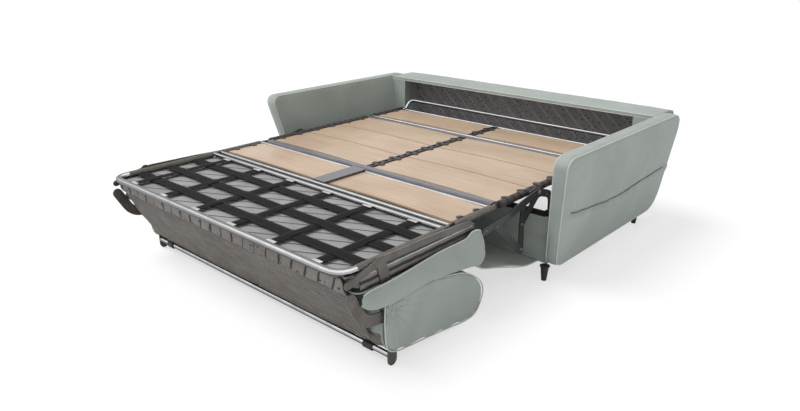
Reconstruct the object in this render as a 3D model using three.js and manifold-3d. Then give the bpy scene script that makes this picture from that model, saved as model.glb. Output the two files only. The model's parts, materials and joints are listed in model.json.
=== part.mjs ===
// Sleeper sofa with a fold-out bed frame, shown open without its mattress.
// Millimetres, +Z up, +X across the width, +Y from the foot of the bed towards the sofa back.
import * as THREE from "three";
import { mergeVertices } from "three/addons/utils/BufferGeometryUtils.js";
import Module from "manifold-3d";

// Running gaps
const clearance = 0.4;
const seatGap = 0.3;
const pivotClearance = 0.5;
const overrun = 5;

// How finely round forms are cut
const tubeSides = 12;
const bentTubeSides = 10;
const bendSteps = 3;
const curveSteps = 6;
const roundOverSteps = 3;
const capSteps = 6;
const stripBendSteps = 4;
const weldDistance = 1e-4;
const uprightShare = 0.9;

// Bed frame: the four sections from the head to the foot, and the height of the tubes
const bedHalfWidth = 750;
const bedHeight = 420;
const headLength = 303;
const middleLength = 818;
const kneeLength = 297;
const seatLength = 552;
const middleFrontY = -318;

// Tubes
const railRadius = 14;
const crossTubeRadius = 10.5;
const crossTubeOffset = 20.5;
const sleeveRadius = 16.5;
const sleevePitch = 46;
const sleeveLengthShare = 0.75;
const bossRadius = 8;
const foldEarRadius = 9;
const foldEarThickness = 7;
const foldRailGap = 32;
const flatBarWidth = 44;
const flatBarHeight = 20;
const flatBarOffset = 24;

// Slats
const slatThickness = 8;
const slatBow = 5;
const slatGap = 7;
const slatSideGap = 5;
const slatFrontInset = 46;
const slatBowSteps = 6;
const spineWidth = 34;
const spineHeight = 15;
const spineNotchShare = 0.5;
const holderRadius = 15;
const holderHeight = 7;
const holderShares = [0.25, 0.75];
const kneePlateWidth = 78;
const kneePlateThickness = 5;

// Lift levers and the fixed plates that carry them
const liftPivotY = 85;
const liftPivotZ = 121;
const bedPivotY = -34;
const bedPivotZ = 419;
const leverStandOff = 34;
const leverInnerX = bedHalfWidth + leverStandOff;
const leverThickness = 5;
const leverWidth = 34;
const leverBendZ = 384;
const leverBendY = 70;
const leverTipY = -158;
const leverTipZ = 307;
const leverApexY = -150;
const leverApexZ = 182;
const leverHornY = -345;
const leverHornZ = 352;
const leverChordY = -428;
const leverChordZ = 356;
const leverChordRise = 44;
const leverChordBendShare = 0.4;
const leverChordBendRise = 15;
const leverPinRadius = 7;
const torsionTubeRadius = 11;
const sidePlateThickness = 4;
const sidePlateLength = 170;
const sidePlateBottomZ = 78;
const sidePlateTopZ = 318;
const sidePlateShoulderShare = 0.5;
const sidePlateTopShare = 0.33;
const spacerRadius = 9;
const spacerShares = [0.42, 0.85];
const spacerPlaceShare = 0.25;
const bracketInnerX = bedHalfWidth + sleeveRadius + seatGap;
const bracketThickness = 5;
const bracketLength = 96;
const bracketHeight = 30;
const bracketEndShare = 0.5;

// Sofa carcass
const armBottomZ = 72;
const armTopZ = 622;
const armFrontBottomY = -28;
const armFrontTopY = -158;
const armRearY = 1048;
const armStandOff = 78;
const armLean = 76;
const armBottomThickness = 54;
const armTopThickness = 64;
const armInnerBottomX = bedHalfWidth + armStandOff;
const armInnerTopX = armInnerBottomX + armLean;
const armOuterBottomX = armInnerBottomX + armBottomThickness;
const armOuterTopX = armInnerTopX + armTopThickness;
const armFrontCornerRadius = 70;
const armRearCornerRadius = 120;
const armRoundOver = 18;
const backRearY = 1115;
const backTopDrop = 8;
const backTopZ = armTopZ - backTopDrop;
const backTopThickness = 17;
const backFrontY = 862;
const backBoardThickness = 20;
const backLiningThickness = 5;
const backPostStandOff = 34;
const backPostInnerX = bedHalfWidth + backPostStandOff;
const backPostDepth = 40;
const backRoundOver = 60;
const frontPanelY = 14;
const frontPanelThickness = 26;
const frontPanelTopZ = 290;
const frontBarSize = 20;
const rearBarSize = 20;
const rearBarY = 975;
const rearBarZ = 84;
const legTopRadius = 19;
const legFootRadius = 12;
const legStandOff = 76;
const legX = bedHalfWidth + legStandOff;
const legFrontY = 0;
const legRearY = 935;
const legPlateThickness = 4;
const legSides = 14;

// Pillow hoop
const hoopInset = 28;
const hoopHalfWidth = bedHalfWidth - hoopInset;
const hoopRise = 67;
const hoopReach = 41;
const hoopRadius = 9;
const hoopBendRadius = 38;
const hoopEyeRadius = 15.5;
const hoopEyeHalfWidth = 7;
const hoopEyeSides = 16;

// Seat section
const footTubeRadius = 14;
const footCornerRadius = 70;
const footCornerEase = 4;
const footCornerSteps = 5;
const seatBossShares = [0.08, 0.5];
const formedRailInnerX = bedHalfWidth + sleeveRadius + seatGap;
const formedRailThickness = 7;
const formedRailDepth = 26;
const formedRailReach = 104;
const formedRailFootReach = 13;
const formedRailCourse = [
  [0, -10],
  [0.35, 0],
  [0.75, 5],
  [1, -34],
];
const webbingThickness = 3;
const webbingCrossWidth = 52;
const webbingLengthWidth = 42;
const webbingCrossCount = 3;
const webbingLengthCount = 6;
const webbingEdgeShare = 0.75;
const seatBoardThickness = 6;
const seatBoardTopZ = bedHeight - railRadius - seatGap;
const seatBoardInset = 24;
const seatCushionSideReach = 14;
const seatCushionHalfWidth = bedHalfWidth + seatCushionSideReach;
const seatCushionBottomDrop = 108;
const seatCushionFootInset = 62;
const seatCushionKneeOverlap = 158;
const seatCushionDrawShare = 0.1;
const seatCushionRimShare = 0.62;
const cushionRimSharpness = 8;
const cushionBowShare = 0.4;
const cushionColumns = 16;
const cushionRows = 12;

// Backrest, folded under the seat
const backrestSideReach = 50;
const backrestHalfWidth = bedHalfWidth + backrestSideReach;
const backrestDrawShare = 0.05;
const backrestCrownShare = 0.03;
const backrestDrawSharpness = 16;
const backrestStations = 16;
const backrestOutlinePoints = 28;
const backrestFootY = -1004;
const backrestRearY = -428;
const backrestTopZ = 276;
const backrestBottomZ = 6;
const backrestHingeY = -943;
const backrestHingeZ = 247;
const hingePinRadius = 7;
const hingePlateLean = 60;
const legInnerX = formedRailInnerX + formedRailThickness + pivotClearance;
const footLegThickness = 6;
const footLegWidth = 44;
const footLegFloorY = -954;
const footLegElbowZ = 208;
const footLegTopY = -1150;
const footLegTopZ = 336;
const footLegBendYShare = 0.3;
const footLegBendZShare = 0.85;
const floorBarRadius = 11;
const floorBarY = -966;
const floorBarZ = 46;
const legPocketClearance = 6;

// Loose cloth: the apron under the seat and the lining sheet at the foot
const clothThickness = 4;
const apronInset = 4;
const apronTopDrop = 16;
const apronRipple = 4;
const apronRippleCount = 3;
const apronColumns = 24;
const apronRows = 10;
const apronCourseShares = [
  [0, 0],
  [0.12, 0.02],
  [0.25, 0.11],
  [0.5, 0.35],
  [0.7, 0.54],
  [0.76, 0.75],
  [0.77, 1],
];
const liningSheetThickness = 3;
const liningSheetSlack = 16;
const liningSheetFootReach = 16;
const liningSheetFootShare = 0.3;
const liningSheetColumns = 10;
const liningSheetRows = 6;

const wasm = await Module();
wasm.setup();

function material(color, roughness, metalness) {
  return new THREE.MeshStandardMaterial({ color, roughness, metalness });
}

const upholstery = material(0xa3aca6, 0.92, 0);
const darkLining = material(0x55545a, 0.95, 0);
const paleLining = material(0x8d8e92, 0.95, 0);
const webCloth = material(0x2c2b2e, 0.9, 0);
const blackSteel = material(0x1b1a1b, 0.5, 0.6);
const taupeSteel = material(0x5d5751, 0.45, 0.6);
const chromeSteel = material(0xc7c9cc, 0.22, 1);
const greySteel = material(0x68666f, 0.4, 0.7);
const birch = material(0xcdb394, 0.6, 0);
const darkPlastic = material(0x3b3836, 0.6, 0);

// Fold lines and the foot of the bed. The whole sofa is centred over its own footprint.
const kneeFrontY = middleFrontY - kneeLength;
const headHingeY = middleFrontY + middleLength;
const headEndY = headHingeY + headLength;
const bedFootY = kneeFrontY - seatLength;
const footMostY = bedFootY - footTubeRadius;
const railInner = bedHalfWidth - sleeveRadius - seatGap;
const insideEarX = bedHalfWidth - foldEarThickness - clearance;
const outsideEarX = bedHalfWidth + clearance;
const sofa = new THREE.Group();
sofa.position.y = -(footMostY + backRearY) / 2;

// Solids for joining and cutting
function solidFrom(geometry) {
  const bare = geometry.index ? geometry.toNonIndexed() : geometry.clone();
  bare.deleteAttribute("normal");
  bare.deleteAttribute("uv");
  const merged = mergeVertices(bare, weldDistance);
  return new wasm.Manifold(
    new wasm.Mesh({
      numProp: 3,
      vertProperties: merged.attributes.position.array,
      triVerts: new Uint32Array(merged.index.array),
    }),
  );
}

function geometryFrom(solid) {
  const mesh = solid.getMesh();
  const geometry = new THREE.BufferGeometry();
  geometry.setAttribute("position", new THREE.BufferAttribute(mesh.vertProperties, 3));
  geometry.setIndex(new THREE.BufferAttribute(mesh.triVerts, 1));
  return geometry;
}

function join(...geometries) {
  return geometryFrom(geometries.map(solidFrom).reduce((whole, piece) => whole.add(piece)));
}

function cut(geometry, ...tools) {
  const solids = tools.map(solidFrom);
  return geometryFrom(solids.reduce((whole, tool) => whole.subtract(tool), solidFrom(geometry)));
}

function add(name, geometry, paint) {
  const mesh = new THREE.Mesh(geometry, paint);
  mesh.name = name;
  sofa.add(mesh);
}

// Basic forms, placed in the sofa's own frame
function block(x0, x1, y0, y1, z0, z1) {
  const geometry = new THREE.BoxGeometry(x1 - x0, y1 - y0, z1 - z0);
  return geometry.translate((x0 + x1) / 2, (y0 + y1) / 2, (z0 + z1) / 2);
}

function rodAlongX(x0, x1, y, z, radius, sides = tubeSides) {
  const geometry = new THREE.CylinderGeometry(radius, radius, Math.abs(x1 - x0), sides);
  return geometry.rotateZ(Math.PI / 2).translate((x0 + x1) / 2, y, z);
}

function rodAlongY(x, y0, y1, z, radius, sides = tubeSides) {
  const geometry = new THREE.CylinderGeometry(radius, radius, y1 - y0, sides);
  return geometry.translate(0, (y0 + y1) / 2, 0).translate(x, 0, z);
}

function prism(shape, depth) {
  return new THREE.ExtrudeGeometry(shape, { depth, bevelEnabled: false, curveSegments: curveSteps });
}

// A flat plate across X: the outline is drawn in the Y and Z of the sofa.
const acrossX = new THREE.Matrix4().makeBasis(
  new THREE.Vector3(0, 1, 0),
  new THREE.Vector3(0, 0, 1),
  new THREE.Vector3(1, 0, 0),
);

function plateAcrossX(shape, side, innerX, thickness) {
  const geometry = prism(shape, thickness);
  geometry.applyMatrix4(acrossX);
  return geometry.translate(side > 0 ? innerX : -innerX - thickness, 0, 0);
}

// A strip of constant width with round ends along a bent centre line
function bentStrip(points, width, bend = width) {
  const path = new THREE.Path();
  path.moveTo(...points[0]);
  for (let i = 1; i < points.length - 1; i++) {
    const near = points.slice(i - 1, i + 2);
    const [before, here, after] = near.map((point) => new THREE.Vector2(...point));
    const enter = here.clone().add(before.clone().sub(here).setLength(bend));
    const leave = here.clone().add(after.clone().sub(here).setLength(bend));
    path.lineTo(enter.x, enter.y);
    path.quadraticCurveTo(here.x, here.y, leave.x, leave.y);
  }
  path.lineTo(...points[points.length - 1]);
  const line = path.getPoints(stripBendSteps);
  const left = [];
  const right = [];
  line.forEach((point, i) => {
    const before = line[Math.max(i - 1, 0)];
    const after = line[Math.min(i + 1, line.length - 1)];
    const along = after.clone().sub(before).normalize();
    const across = new THREE.Vector2(-along.y, along.x).multiplyScalar(width / 2);
    left.push(point.clone().add(across));
    right.push(point.clone().sub(across));
  });
  const cap = (centre, from) => {
    const turns = Array.from({ length: capSteps - 1 }, (_, k) => (-(k + 1) * Math.PI) / capSteps);
    return turns.map((turn) => from.clone().rotateAround(centre, turn));
  };
  const headCap = cap(line[line.length - 1], left[left.length - 1]);
  const footCap = cap(line[0], right[0]);
  return new THREE.Shape([...left, ...headCap, ...right.reverse(), ...footCap]);
}

// A round tube along straight runs with bent corners
function bentTube(points, radius, bend, sides = bentTubeSides, steps = bendSteps) {
  const path = new THREE.CurvePath();
  let from = points[0];
  for (let i = 1; i < points.length; i++) {
    const here = points[i];
    if (i < points.length - 1) {
      const enter = here.clone().add(points[i - 1].clone().sub(here).setLength(bend));
      const leave = here.clone().add(points[i + 1].clone().sub(here).setLength(bend));
      path.add(new THREE.LineCurve3(from, enter));
      path.add(new THREE.QuadraticBezierCurve3(enter, here, leave));
      from = leave;
    } else {
      path.add(new THREE.LineCurve3(from, here));
    }
  }
  const frames = path.curves.flatMap((curve, i) => {
    const count = curve.isLineCurve3 ? 1 : steps;
    const list = [];
    for (let k = i === 0 ? 0 : 1; k <= count; k++) {
      list.push({ point: curve.getPoint(k / count), along: curve.getTangent(k / count) });
    }
    return list;
  });
  return sweep(frames, (angle) => [radius * Math.cos(angle), radius * Math.sin(angle)], sides);
}

// Rings of points along a path, closed with flat ends
function sweep(frames, section, sides) {
  const positions = [];
  const indices = [];
  let across = new THREE.Vector3(0, 0, 1);
  if (Math.abs(frames[0].along.dot(across)) > uprightShare) across = new THREE.Vector3(0, 1, 0);
  frames.forEach(({ point, along }) => {
    const second = new THREE.Vector3().crossVectors(along, across).normalize();
    across = new THREE.Vector3().crossVectors(second, along).normalize();
    for (let k = 0; k < sides; k++) {
      const [a, b] = section((2 * Math.PI * k) / sides);
      const vertex = point.clone().addScaledVector(second, a).addScaledVector(across, b);
      positions.push(...vertex.toArray());
    }
  });
  const ring = (r, k) => r * sides + (k % sides);
  for (let r = 0; r < frames.length - 1; r++) {
    for (let k = 0; k < sides; k++) {
      indices.push(ring(r, k), ring(r, k + 1), ring(r + 1, k + 1));
      indices.push(ring(r, k), ring(r + 1, k + 1), ring(r + 1, k));
    }
  }
  const last = frames.length - 1;
  for (let k = 1; k < sides - 1; k++) {
    indices.push(ring(0, 0), ring(0, k + 1), ring(0, k));
    indices.push(ring(last, 0), ring(last, k), ring(last, k + 1));
  }
  const geometry = new THREE.BufferGeometry();
  geometry.setAttribute("position", new THREE.Float32BufferAttribute(positions, 3));
  geometry.setIndex(indices);
  return solidFrom(geometry).volume() < 0 ? turnedOut(geometry) : geometry;
}

// A closed body through rings of points, with a fan on each end
function loft(rings) {
  const count = rings[0].length;
  const indices = [];
  const ring = (r, k) => r * count + (k % count);
  for (let r = 0; r < rings.length - 1; r++) {
    for (let k = 0; k < count; k++) {
      indices.push(ring(r, k), ring(r, k + 1), ring(r + 1, k + 1));
      indices.push(ring(r, k), ring(r + 1, k + 1), ring(r + 1, k));
    }
  }
  const centre = (points) => [0, 1, 2].map((i) => points.reduce((sum, p) => sum + p[i], 0) / count);
  const last = rings.length - 1;
  const first = rings.length * count;
  for (let k = 0; k < count; k++) {
    indices.push(first, ring(0, k + 1), ring(0, k));
    indices.push(first + 1, ring(last, k), ring(last, k + 1));
  }
  const positions = [...rings.flat(2), ...centre(rings[0]), ...centre(rings[last])];
  const geometry = new THREE.BufferGeometry();
  geometry.setAttribute("position", new THREE.Float32BufferAttribute(positions, 3));
  geometry.setIndex(indices);
  return solidFrom(geometry).volume() < 0 ? turnedOut(geometry) : geometry;
}

function turnedOut(geometry) {
  const index = geometry.index.array;
  for (let i = 0; i < index.length; i += 3) {
    [index[i + 1], index[i + 2]] = [index[i + 2], index[i + 1]];
  }
  return geometry;
}

// A closed sheet or pad: a grid with an upper and a lower surface
function pad(columns, rows, upper, lower) {
  const positions = [];
  const indices = [];
  const layer = (columns + 1) * (rows + 1);
  [upper, lower].forEach((surface) => {
    for (let j = 0; j <= rows; j++) {
      for (let i = 0; i <= columns; i++) {
        positions.push(...surface(i / columns, j / rows));
      }
    }
  });
  const at = (level, i, j) => level * layer + j * (columns + 1) + i;
  for (let j = 0; j < rows; j++) {
    for (let i = 0; i < columns; i++) {
      indices.push(at(0, i, j), at(0, i + 1, j), at(0, i + 1, j + 1));
      indices.push(at(0, i, j), at(0, i + 1, j + 1), at(0, i, j + 1));
      indices.push(at(1, i, j), at(1, i + 1, j + 1), at(1, i + 1, j));
      indices.push(at(1, i, j), at(1, i, j + 1), at(1, i + 1, j + 1));
    }
  }
  const wall = (i0, j0, i1, j1) => {
    indices.push(at(0, i0, j0), at(1, i0, j0), at(1, i1, j1));
    indices.push(at(0, i0, j0), at(1, i1, j1), at(0, i1, j1));
  };
  for (let i = 0; i < columns; i++) {
    wall(i, 0, i + 1, 0);
    wall(i + 1, rows, i, rows);
  }
  for (let j = 0; j < rows; j++) {
    wall(0, j + 1, 0, j);
    wall(columns, j, columns, j + 1);
  }
  const geometry = new THREE.BufferGeometry();
  geometry.setAttribute("position", new THREE.Float32BufferAttribute(positions, 3));
  geometry.setIndex(indices);
  return solidFrom(geometry).volume() < 0 ? turnedOut(geometry) : geometry;
}

const sides = [
  ["left", -1],
  ["right", 1],
];
const mix = THREE.MathUtils.lerp;

// Place of the arm's inner and outer face at a height, given as a share of the arm's own height
function armInnerX(share) {
  return mix(armInnerBottomX, armInnerTopX, share);
}

function armOuterX(share) {
  return mix(armOuterBottomX, armOuterTopX, share);
}

// Upholstered arm: a slim slab with round corners that leans out towards its top
function arm(side) {
  const inset = armRoundOver;
  const bottom = armBottomZ + inset;
  const top = armTopZ - inset;
  const small = armFrontCornerRadius;
  const large = armRearCornerRadius;
  const front = (z) => mix(armFrontBottomY, armFrontTopY, (z - armBottomZ) / (armTopZ - armBottomZ)) + inset;
  const rear = armRearY - inset;
  const shape = new THREE.Shape();
  shape.moveTo(front(bottom) + small, bottom);
  shape.lineTo(rear - large, bottom);
  shape.quadraticCurveTo(rear, bottom, rear, bottom + large);
  shape.lineTo(rear, top - large);
  shape.quadraticCurveTo(rear, top, rear - large, top);
  shape.lineTo(front(top) + small, top);
  shape.quadraticCurveTo(front(top), top, front(top - small), top - small);
  shape.lineTo(front(bottom + small), bottom + small);
  shape.quadraticCurveTo(front(bottom), bottom, front(bottom) + small, bottom);
  const slab = armOuterBottomX - armInnerBottomX;
  const geometry = new THREE.ExtrudeGeometry(shape, {
    depth: slab - 2 * inset,
    bevelEnabled: true,
    bevelThickness: inset,
    bevelSize: inset,
    bevelSegments: roundOverSteps,
    curveSegments: curveSteps,
  });
  geometry.applyMatrix4(acrossX);
  geometry.translate(inset, 0, 0);
  const place = geometry.attributes.position;
  for (let i = 0; i < place.count; i++) {
    const share = (place.getZ(i) - armBottomZ) / (armTopZ - armBottomZ);
    place.setX(i, mix(armInnerX(share), armOuterX(share), place.getX(i) / slab));
  }
  return side > 0 ? geometry : turnedOut(mirrored(geometry));
}

// Space beyond the inner faces of the arms, for trimming what fits between them
function beyondArms(side) {
  const outline = [
    [armInnerBottomX - clearance, armBottomZ - overrun],
    [armInnerBottomX - clearance, armBottomZ],
    [armInnerTopX - clearance, armTopZ],
    [armOuterTopX + overrun, armTopZ],
    [armOuterTopX + overrun, armBottomZ - overrun],
  ].map((point) => new THREE.Vector2(...point));
  const reach = backRearY + overrun;
  const geometry = prism(new THREE.Shape(outline), 2 * reach);
  geometry.rotateX(Math.PI / 2).translate(0, reach, 0);
  return side > 0 ? geometry : turnedOut(mirrored(geometry));
}

function betweenArms(geometry) {
  return cut(geometry, ...sides.map(([, side]) => beyondArms(side)));
}

function mirrored(geometry) {
  const merged = solidFrom(geometry);
  const turned = geometryFrom(merged);
  turned.scale(-1, 1, 1);
  return turned;
}

// Back of the sofa: a board, a top rail and two posts round an open recess lined with dark cloth
function addBack() {
  const outerX = armInnerTopX;
  const boardFront = backRearY - backBoardThickness;
  const lip = backTopThickness / 2;
  const shape = new THREE.Shape();
  shape.moveTo(boardFront, armBottomZ);
  shape.lineTo(backRearY, armBottomZ);
  shape.lineTo(backRearY, backTopZ - backRoundOver);
  shape.quadraticCurveTo(backRearY, backTopZ, backRearY - backRoundOver, backTopZ);
  shape.lineTo(backFrontY + lip, backTopZ);
  shape.absarc(backFrontY + lip, backTopZ - lip, lip, Math.PI / 2, 3 * Math.PI / 2, false);
  shape.lineTo(boardFront, backTopZ - backTopThickness);
  shape.lineTo(boardFront, armBottomZ);
  const shell = prism(shape, 2 * outerX);
  shell.applyMatrix4(acrossX);
  add("back_shell", betweenArms(shell.translate(-outerX, 0, 0)), upholstery);
  const liningFront = boardFront - seatGap - backLiningThickness;
  const underTop = backTopZ - backTopThickness - seatGap;
  const postRear = backFrontY + backPostDepth;
  const wingX = backPostInnerX + backPostDepth;
  const wingRear = liningFront - seatGap;
  sides.forEach(([name, side]) => {
    const front = block(backPostInnerX, outerX, backFrontY, postRear, armBottomZ, underTop);
    const wing = block(backPostInnerX, wingX, backFrontY, wingRear, armBottomZ, underTop);
    const corner = cut(join(front, wing), beyondArms(1));
    add("back_post_" + name, side > 0 ? corner : turnedOut(mirrored(corner)), upholstery);
  });
  const lining = block(-outerX, outerX, liningFront, boardFront - seatGap, armBottomZ, underTop);
  add("back_lining", betweenArms(lining), darkLining);
}

function addCarcass() {
  sides.forEach(([name, side]) => add("arm_" + name, arm(side), upholstery));
  addBack();
  const panelRear = frontPanelY + frontPanelThickness;
  const panel = block(-armInnerTopX, armInnerTopX, frontPanelY, panelRear, armBottomZ, frontPanelTopZ);
  add("front_panel", betweenArms(panel), upholstery);
  const barBottom = frontPanelTopZ + clearance;
  add("lift_frame", liftFrame(panelRear, barBottom), blackSteel);
  const half = backPostInnerX - seatGap;
  const barRear = rearBarY + rearBarSize;
  const rearBar = block(-half, half, rearBarY, barRear, rearBarZ, rearBarZ + rearBarSize);
  add("rear_cross_bar", rearBar, blackSteel);
  [
    ["front", legFrontY],
    ["rear", legRearY],
  ].forEach(([end, y]) => {
    sides.forEach(([name, side]) => {
      add("leg_" + end + "_" + name, sofaLeg(side * legX, y), darkPlastic);
    });
  });
}

// Fixed frame of the lift: a bar over the front panel between two plates that hold the lever pivots
function liftFrame(panelRear, barBottom) {
  const plateInner = leverInnerX + leverThickness + pivotClearance;
  const bar = block(
    -plateInner,
    plateInner,
    panelRear - frontBarSize,
    panelRear,
    barBottom,
    barBottom + frontBarSize,
  );
  const front = panelRear + clearance;
  const rear = front + sidePlateLength;
  const outline = new THREE.Shape();
  outline.moveTo(front, sidePlateBottomZ);
  outline.lineTo(rear, sidePlateBottomZ);
  outline.lineTo(rear, sidePlateBottomZ + sidePlateLength * sidePlateShoulderShare);
  outline.lineTo(front + sidePlateLength * sidePlateTopShare, sidePlateTopZ);
  outline.lineTo(panelRear - frontBarSize, sidePlateTopZ);
  outline.lineTo(panelRear - frontBarSize, barBottom);
  outline.lineTo(front, barBottom);
  outline.lineTo(front, sidePlateBottomZ);
  const plates = sides.map(([, side]) => plateAcrossX(outline, side, plateInner, sidePlateThickness));
  const spacers = sides.flatMap(([, side]) =>
    spacerShares.map((share) => {
      const z = mix(sidePlateBottomZ, sidePlateTopZ, share);
      const y = front + sidePlateLength * spacerPlaceShare;
      return rodAlongX(side * plateInner, side * armInnerTopX, y, z, spacerRadius, bentTubeSides);
    }),
  );
  const reach = plateInner + sidePlateThickness + overrun;
  const hole = rodAlongX(-reach, reach, liftPivotY, liftPivotZ, torsionTubeRadius + clearance);
  return cut(betweenArms(join(bar, ...plates, ...spacers)), hole);
}

// Tapered peg with a round fixing plate under the arm
function sofaLeg(x, y) {
  const top = armBottomZ - clearance;
  const profile = [
    new THREE.Vector2(0, 0),
    new THREE.Vector2(legFootRadius, 0),
    new THREE.Vector2(legTopRadius, top - legPlateThickness),
    new THREE.Vector2(legTopRadius + legPlateThickness, top - legPlateThickness),
    new THREE.Vector2(legTopRadius + legPlateThickness, top),
    new THREE.Vector2(0, top),
  ];
  return new THREE.LatheGeometry(profile, legSides).rotateX(Math.PI / 2).translate(x, y, 0);
}

// Lift lever: up from the fixed pivot, over the front bar to the bed pivot, then a triangle of three
// arms whose long upper one runs forward below the rail
function leverArms() {
  const arch = [
    [liftPivotY, liftPivotZ],
    [leverBendY, leverBendZ],
    [bedPivotY, bedPivotZ],
    [leverTipY, leverTipZ],
  ];
  const post = [
    [leverApexY, bedPivotZ - leverWidth],
    [leverTipY, leverTipZ],
    [leverApexY, leverApexZ],
  ];
  const brace = [
    [leverApexY, leverApexZ],
    [leverHornY, leverHornZ],
  ];
  const chord = [
    [bedPivotY, bedPivotZ],
    [leverApexY, leverChordZ + leverChordRise],
    [mix(leverApexY, leverChordY, leverChordBendShare), leverChordZ + leverChordBendRise],
    [leverChordY, leverChordZ],
  ];
  return [arch, post, brace, chord].map((points) => bentStrip(points, leverWidth));
}

function addLift() {
  sides.forEach(([name, side]) => {
    const outlines = leverArms();
    const arms = outlines.map((shape) => plateAcrossX(shape, side, leverInnerX, leverThickness));
    const inner = side * (leverInnerX - overrun);
    const outer = side * (leverInnerX + leverThickness + overrun);
    const low = rodAlongX(inner, outer, liftPivotY, liftPivotZ, torsionTubeRadius + clearance);
    const high = rodAlongX(inner, outer, bedPivotY, bedPivotZ, leverPinRadius + pivotClearance);
    add("lift_lever_" + name, cut(join(...arms), low, high), blackSteel);
  });
  const end = leverInnerX + leverThickness + pivotClearance + sidePlateThickness - clearance;
  add("torsion_tube", rodAlongX(-end, end, liftPivotY, liftPivotZ, torsionTubeRadius), greySteel);
}

// Side rail of a section: a tube with a folding ear at each hinged end
function rail(side, frontY, rearY, frontEar, rearEar, sleeved, rows) {
  const x = side * bedHalfWidth;
  const from = frontY + (frontEar ? foldRailGap : 0);
  const to = rearY - (rearEar ? foldRailGap : 0);
  const pieces = [rodAlongY(x, from, to, bedHeight, railRadius)];
  const ear = (y, toward, kind) => {
    const tongue = new THREE.Shape();
    const reach = toward * (foldRailGap + railRadius);
    tongue.moveTo(y, bedHeight - foldEarRadius);
    tongue.lineTo(y + reach, bedHeight - foldEarRadius);
    tongue.lineTo(y + reach, bedHeight + foldEarRadius);
    tongue.lineTo(y, bedHeight + foldEarRadius);
    const turn = Math.PI / 2 + toward * Math.PI;
    tongue.absarc(y, bedHeight, foldEarRadius, Math.PI / 2, turn, toward < 0);
    const inner = kind === "inside" ? insideEarX : outsideEarX;
    return plateAcrossX(tongue, side, inner, foldEarThickness);
  };
  pieces.push(...holders(side * (bedHalfWidth - sleeveRadius), -side, rows));
  if (frontEar) pieces.push(ear(frontY, 1, frontEar));
  if (rearEar) pieces.push(ear(rearY, -1, rearEar));
  if (sleeved) {
    const count = Math.floor((to - from) / sleevePitch);
    const pitch = (to - from) / count;
    const half = (pitch * sleeveLengthShare) / 2;
    for (let i = 0; i < count; i++) {
      const middle = from + (i + 0.5) * pitch;
      pieces.push(rodAlongY(x, middle - half, middle + half, bedHeight, sleeveRadius));
    }
  }
  return join(...pieces);
}

// Half-round pockets beside a rail or the spine, one for each slat end
function holders(x, toward, rows) {
  const z = bedHeight - slatThickness / 2 - holderHeight / 2 - seatGap;
  return rows.flatMap(([y0, y1]) =>
    holderShares.map((share) => {
      const disc = new THREE.CylinderGeometry(holderRadius, holderRadius, holderHeight, tubeSides);
      disc.rotateX(Math.PI / 2);
      return disc.translate(x + (toward * holderRadius) / 2, mix(y0, y1, share), z);
    }),
  );
}

// Bowed slat between the spine and a rail
function slat(side, y0, y1) {
  const inner = spineWidth / 2 + slatSideGap;
  const outer = bedHalfWidth - sleeveRadius - slatSideGap;
  const rise = (share) => slatBow * (1 - (2 * share - 1) ** 2);
  const low = bedHeight - slatThickness / 2;
  const surface = (level) => (u, v) => [
    side * mix(inner, outer, u),
    mix(y0 + slatGap / 2, y1 - slatGap / 2, v),
    low + rise(u) + level * slatThickness,
  ];
  return pad(slatBowSteps, 1, surface(1), surface(0));
}

function slatRows(frontY, rearY, count) {
  const start = frontY + slatFrontInset;
  const end = rearY - crossTubeOffset - crossTubeRadius;
  const pitch = (end - start) / count;
  return Array.from({ length: count }, (_, i) => [start + i * pitch, start + (i + 1) * pitch]);
}

// Spine down the middle of a section: a ladder-like moulding with the slat pockets
function spine(frontY, rearY, rows) {
  const half = spineWidth / 2;
  const low = bedHeight - spineHeight + slatThickness / 2;
  const top = bedHeight + slatThickness / 2 + slatBow;
  const core = block(-half, half, frontY, rearY, low, top);
  const steps = Math.floor((rearY - frontY) / sleevePitch);
  const pitch = (rearY - frontY) / steps;
  const across = half * spineNotchShare;
  const along = (pitch * spineNotchShare) / 2;
  const notches = Array.from({ length: steps }, (_, i) => {
    const y = frontY + (i + 0.5) * pitch;
    return block(-across, across, y - along, y + along, top - slatBow, top + overrun);
  });
  const pockets = [...holders(-half, -1, rows), ...holders(half, 1, rows)];
  return cut(join(core, ...pockets), ...notches);
}

function crossTube(y, halfLength) {
  return rodAlongX(-halfLength, halfLength, y, bedHeight, crossTubeRadius);
}

// Slatted section between two fold lines
function addSlats(name, frontY, rearY, count) {
  const rows = slatRows(frontY, rearY, count);
  rows.forEach(([y0, y1], i) => {
    sides.forEach(([sideName, side]) => {
      const row = count > 1 ? "_" + (i + 1) : "";
      add("slat_" + name + row + "_" + sideName, slat(side, y0, y1), birch);
    });
  });
  return rows;
}

function addMiddle() {
  const rows = addSlats("middle", middleFrontY, headHingeY, 3);
  const barY = middleFrontY + flatBarOffset;
  sides.forEach(([name, side]) => {
    const tube = rail(side, middleFrontY, headHingeY, "inside", "inside", true, rows);
    add("middle_rail_" + name, tube, darkPlastic);
    add("middle_bracket_" + name, bracket(side), taupeSteel);
  });
  add("middle_front_bar", flatBar(barY), greySteel);
  add("middle_rear_tube", crossTube(headHingeY - crossTubeOffset, insideEarX - seatGap), greySteel);
  const start = barY + flatBarWidth / 2 + clearance;
  const end = headHingeY - crossTubeOffset - crossTubeRadius - clearance;
  add("middle_spine", spine(start, end, rows), darkPlastic);
}

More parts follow.
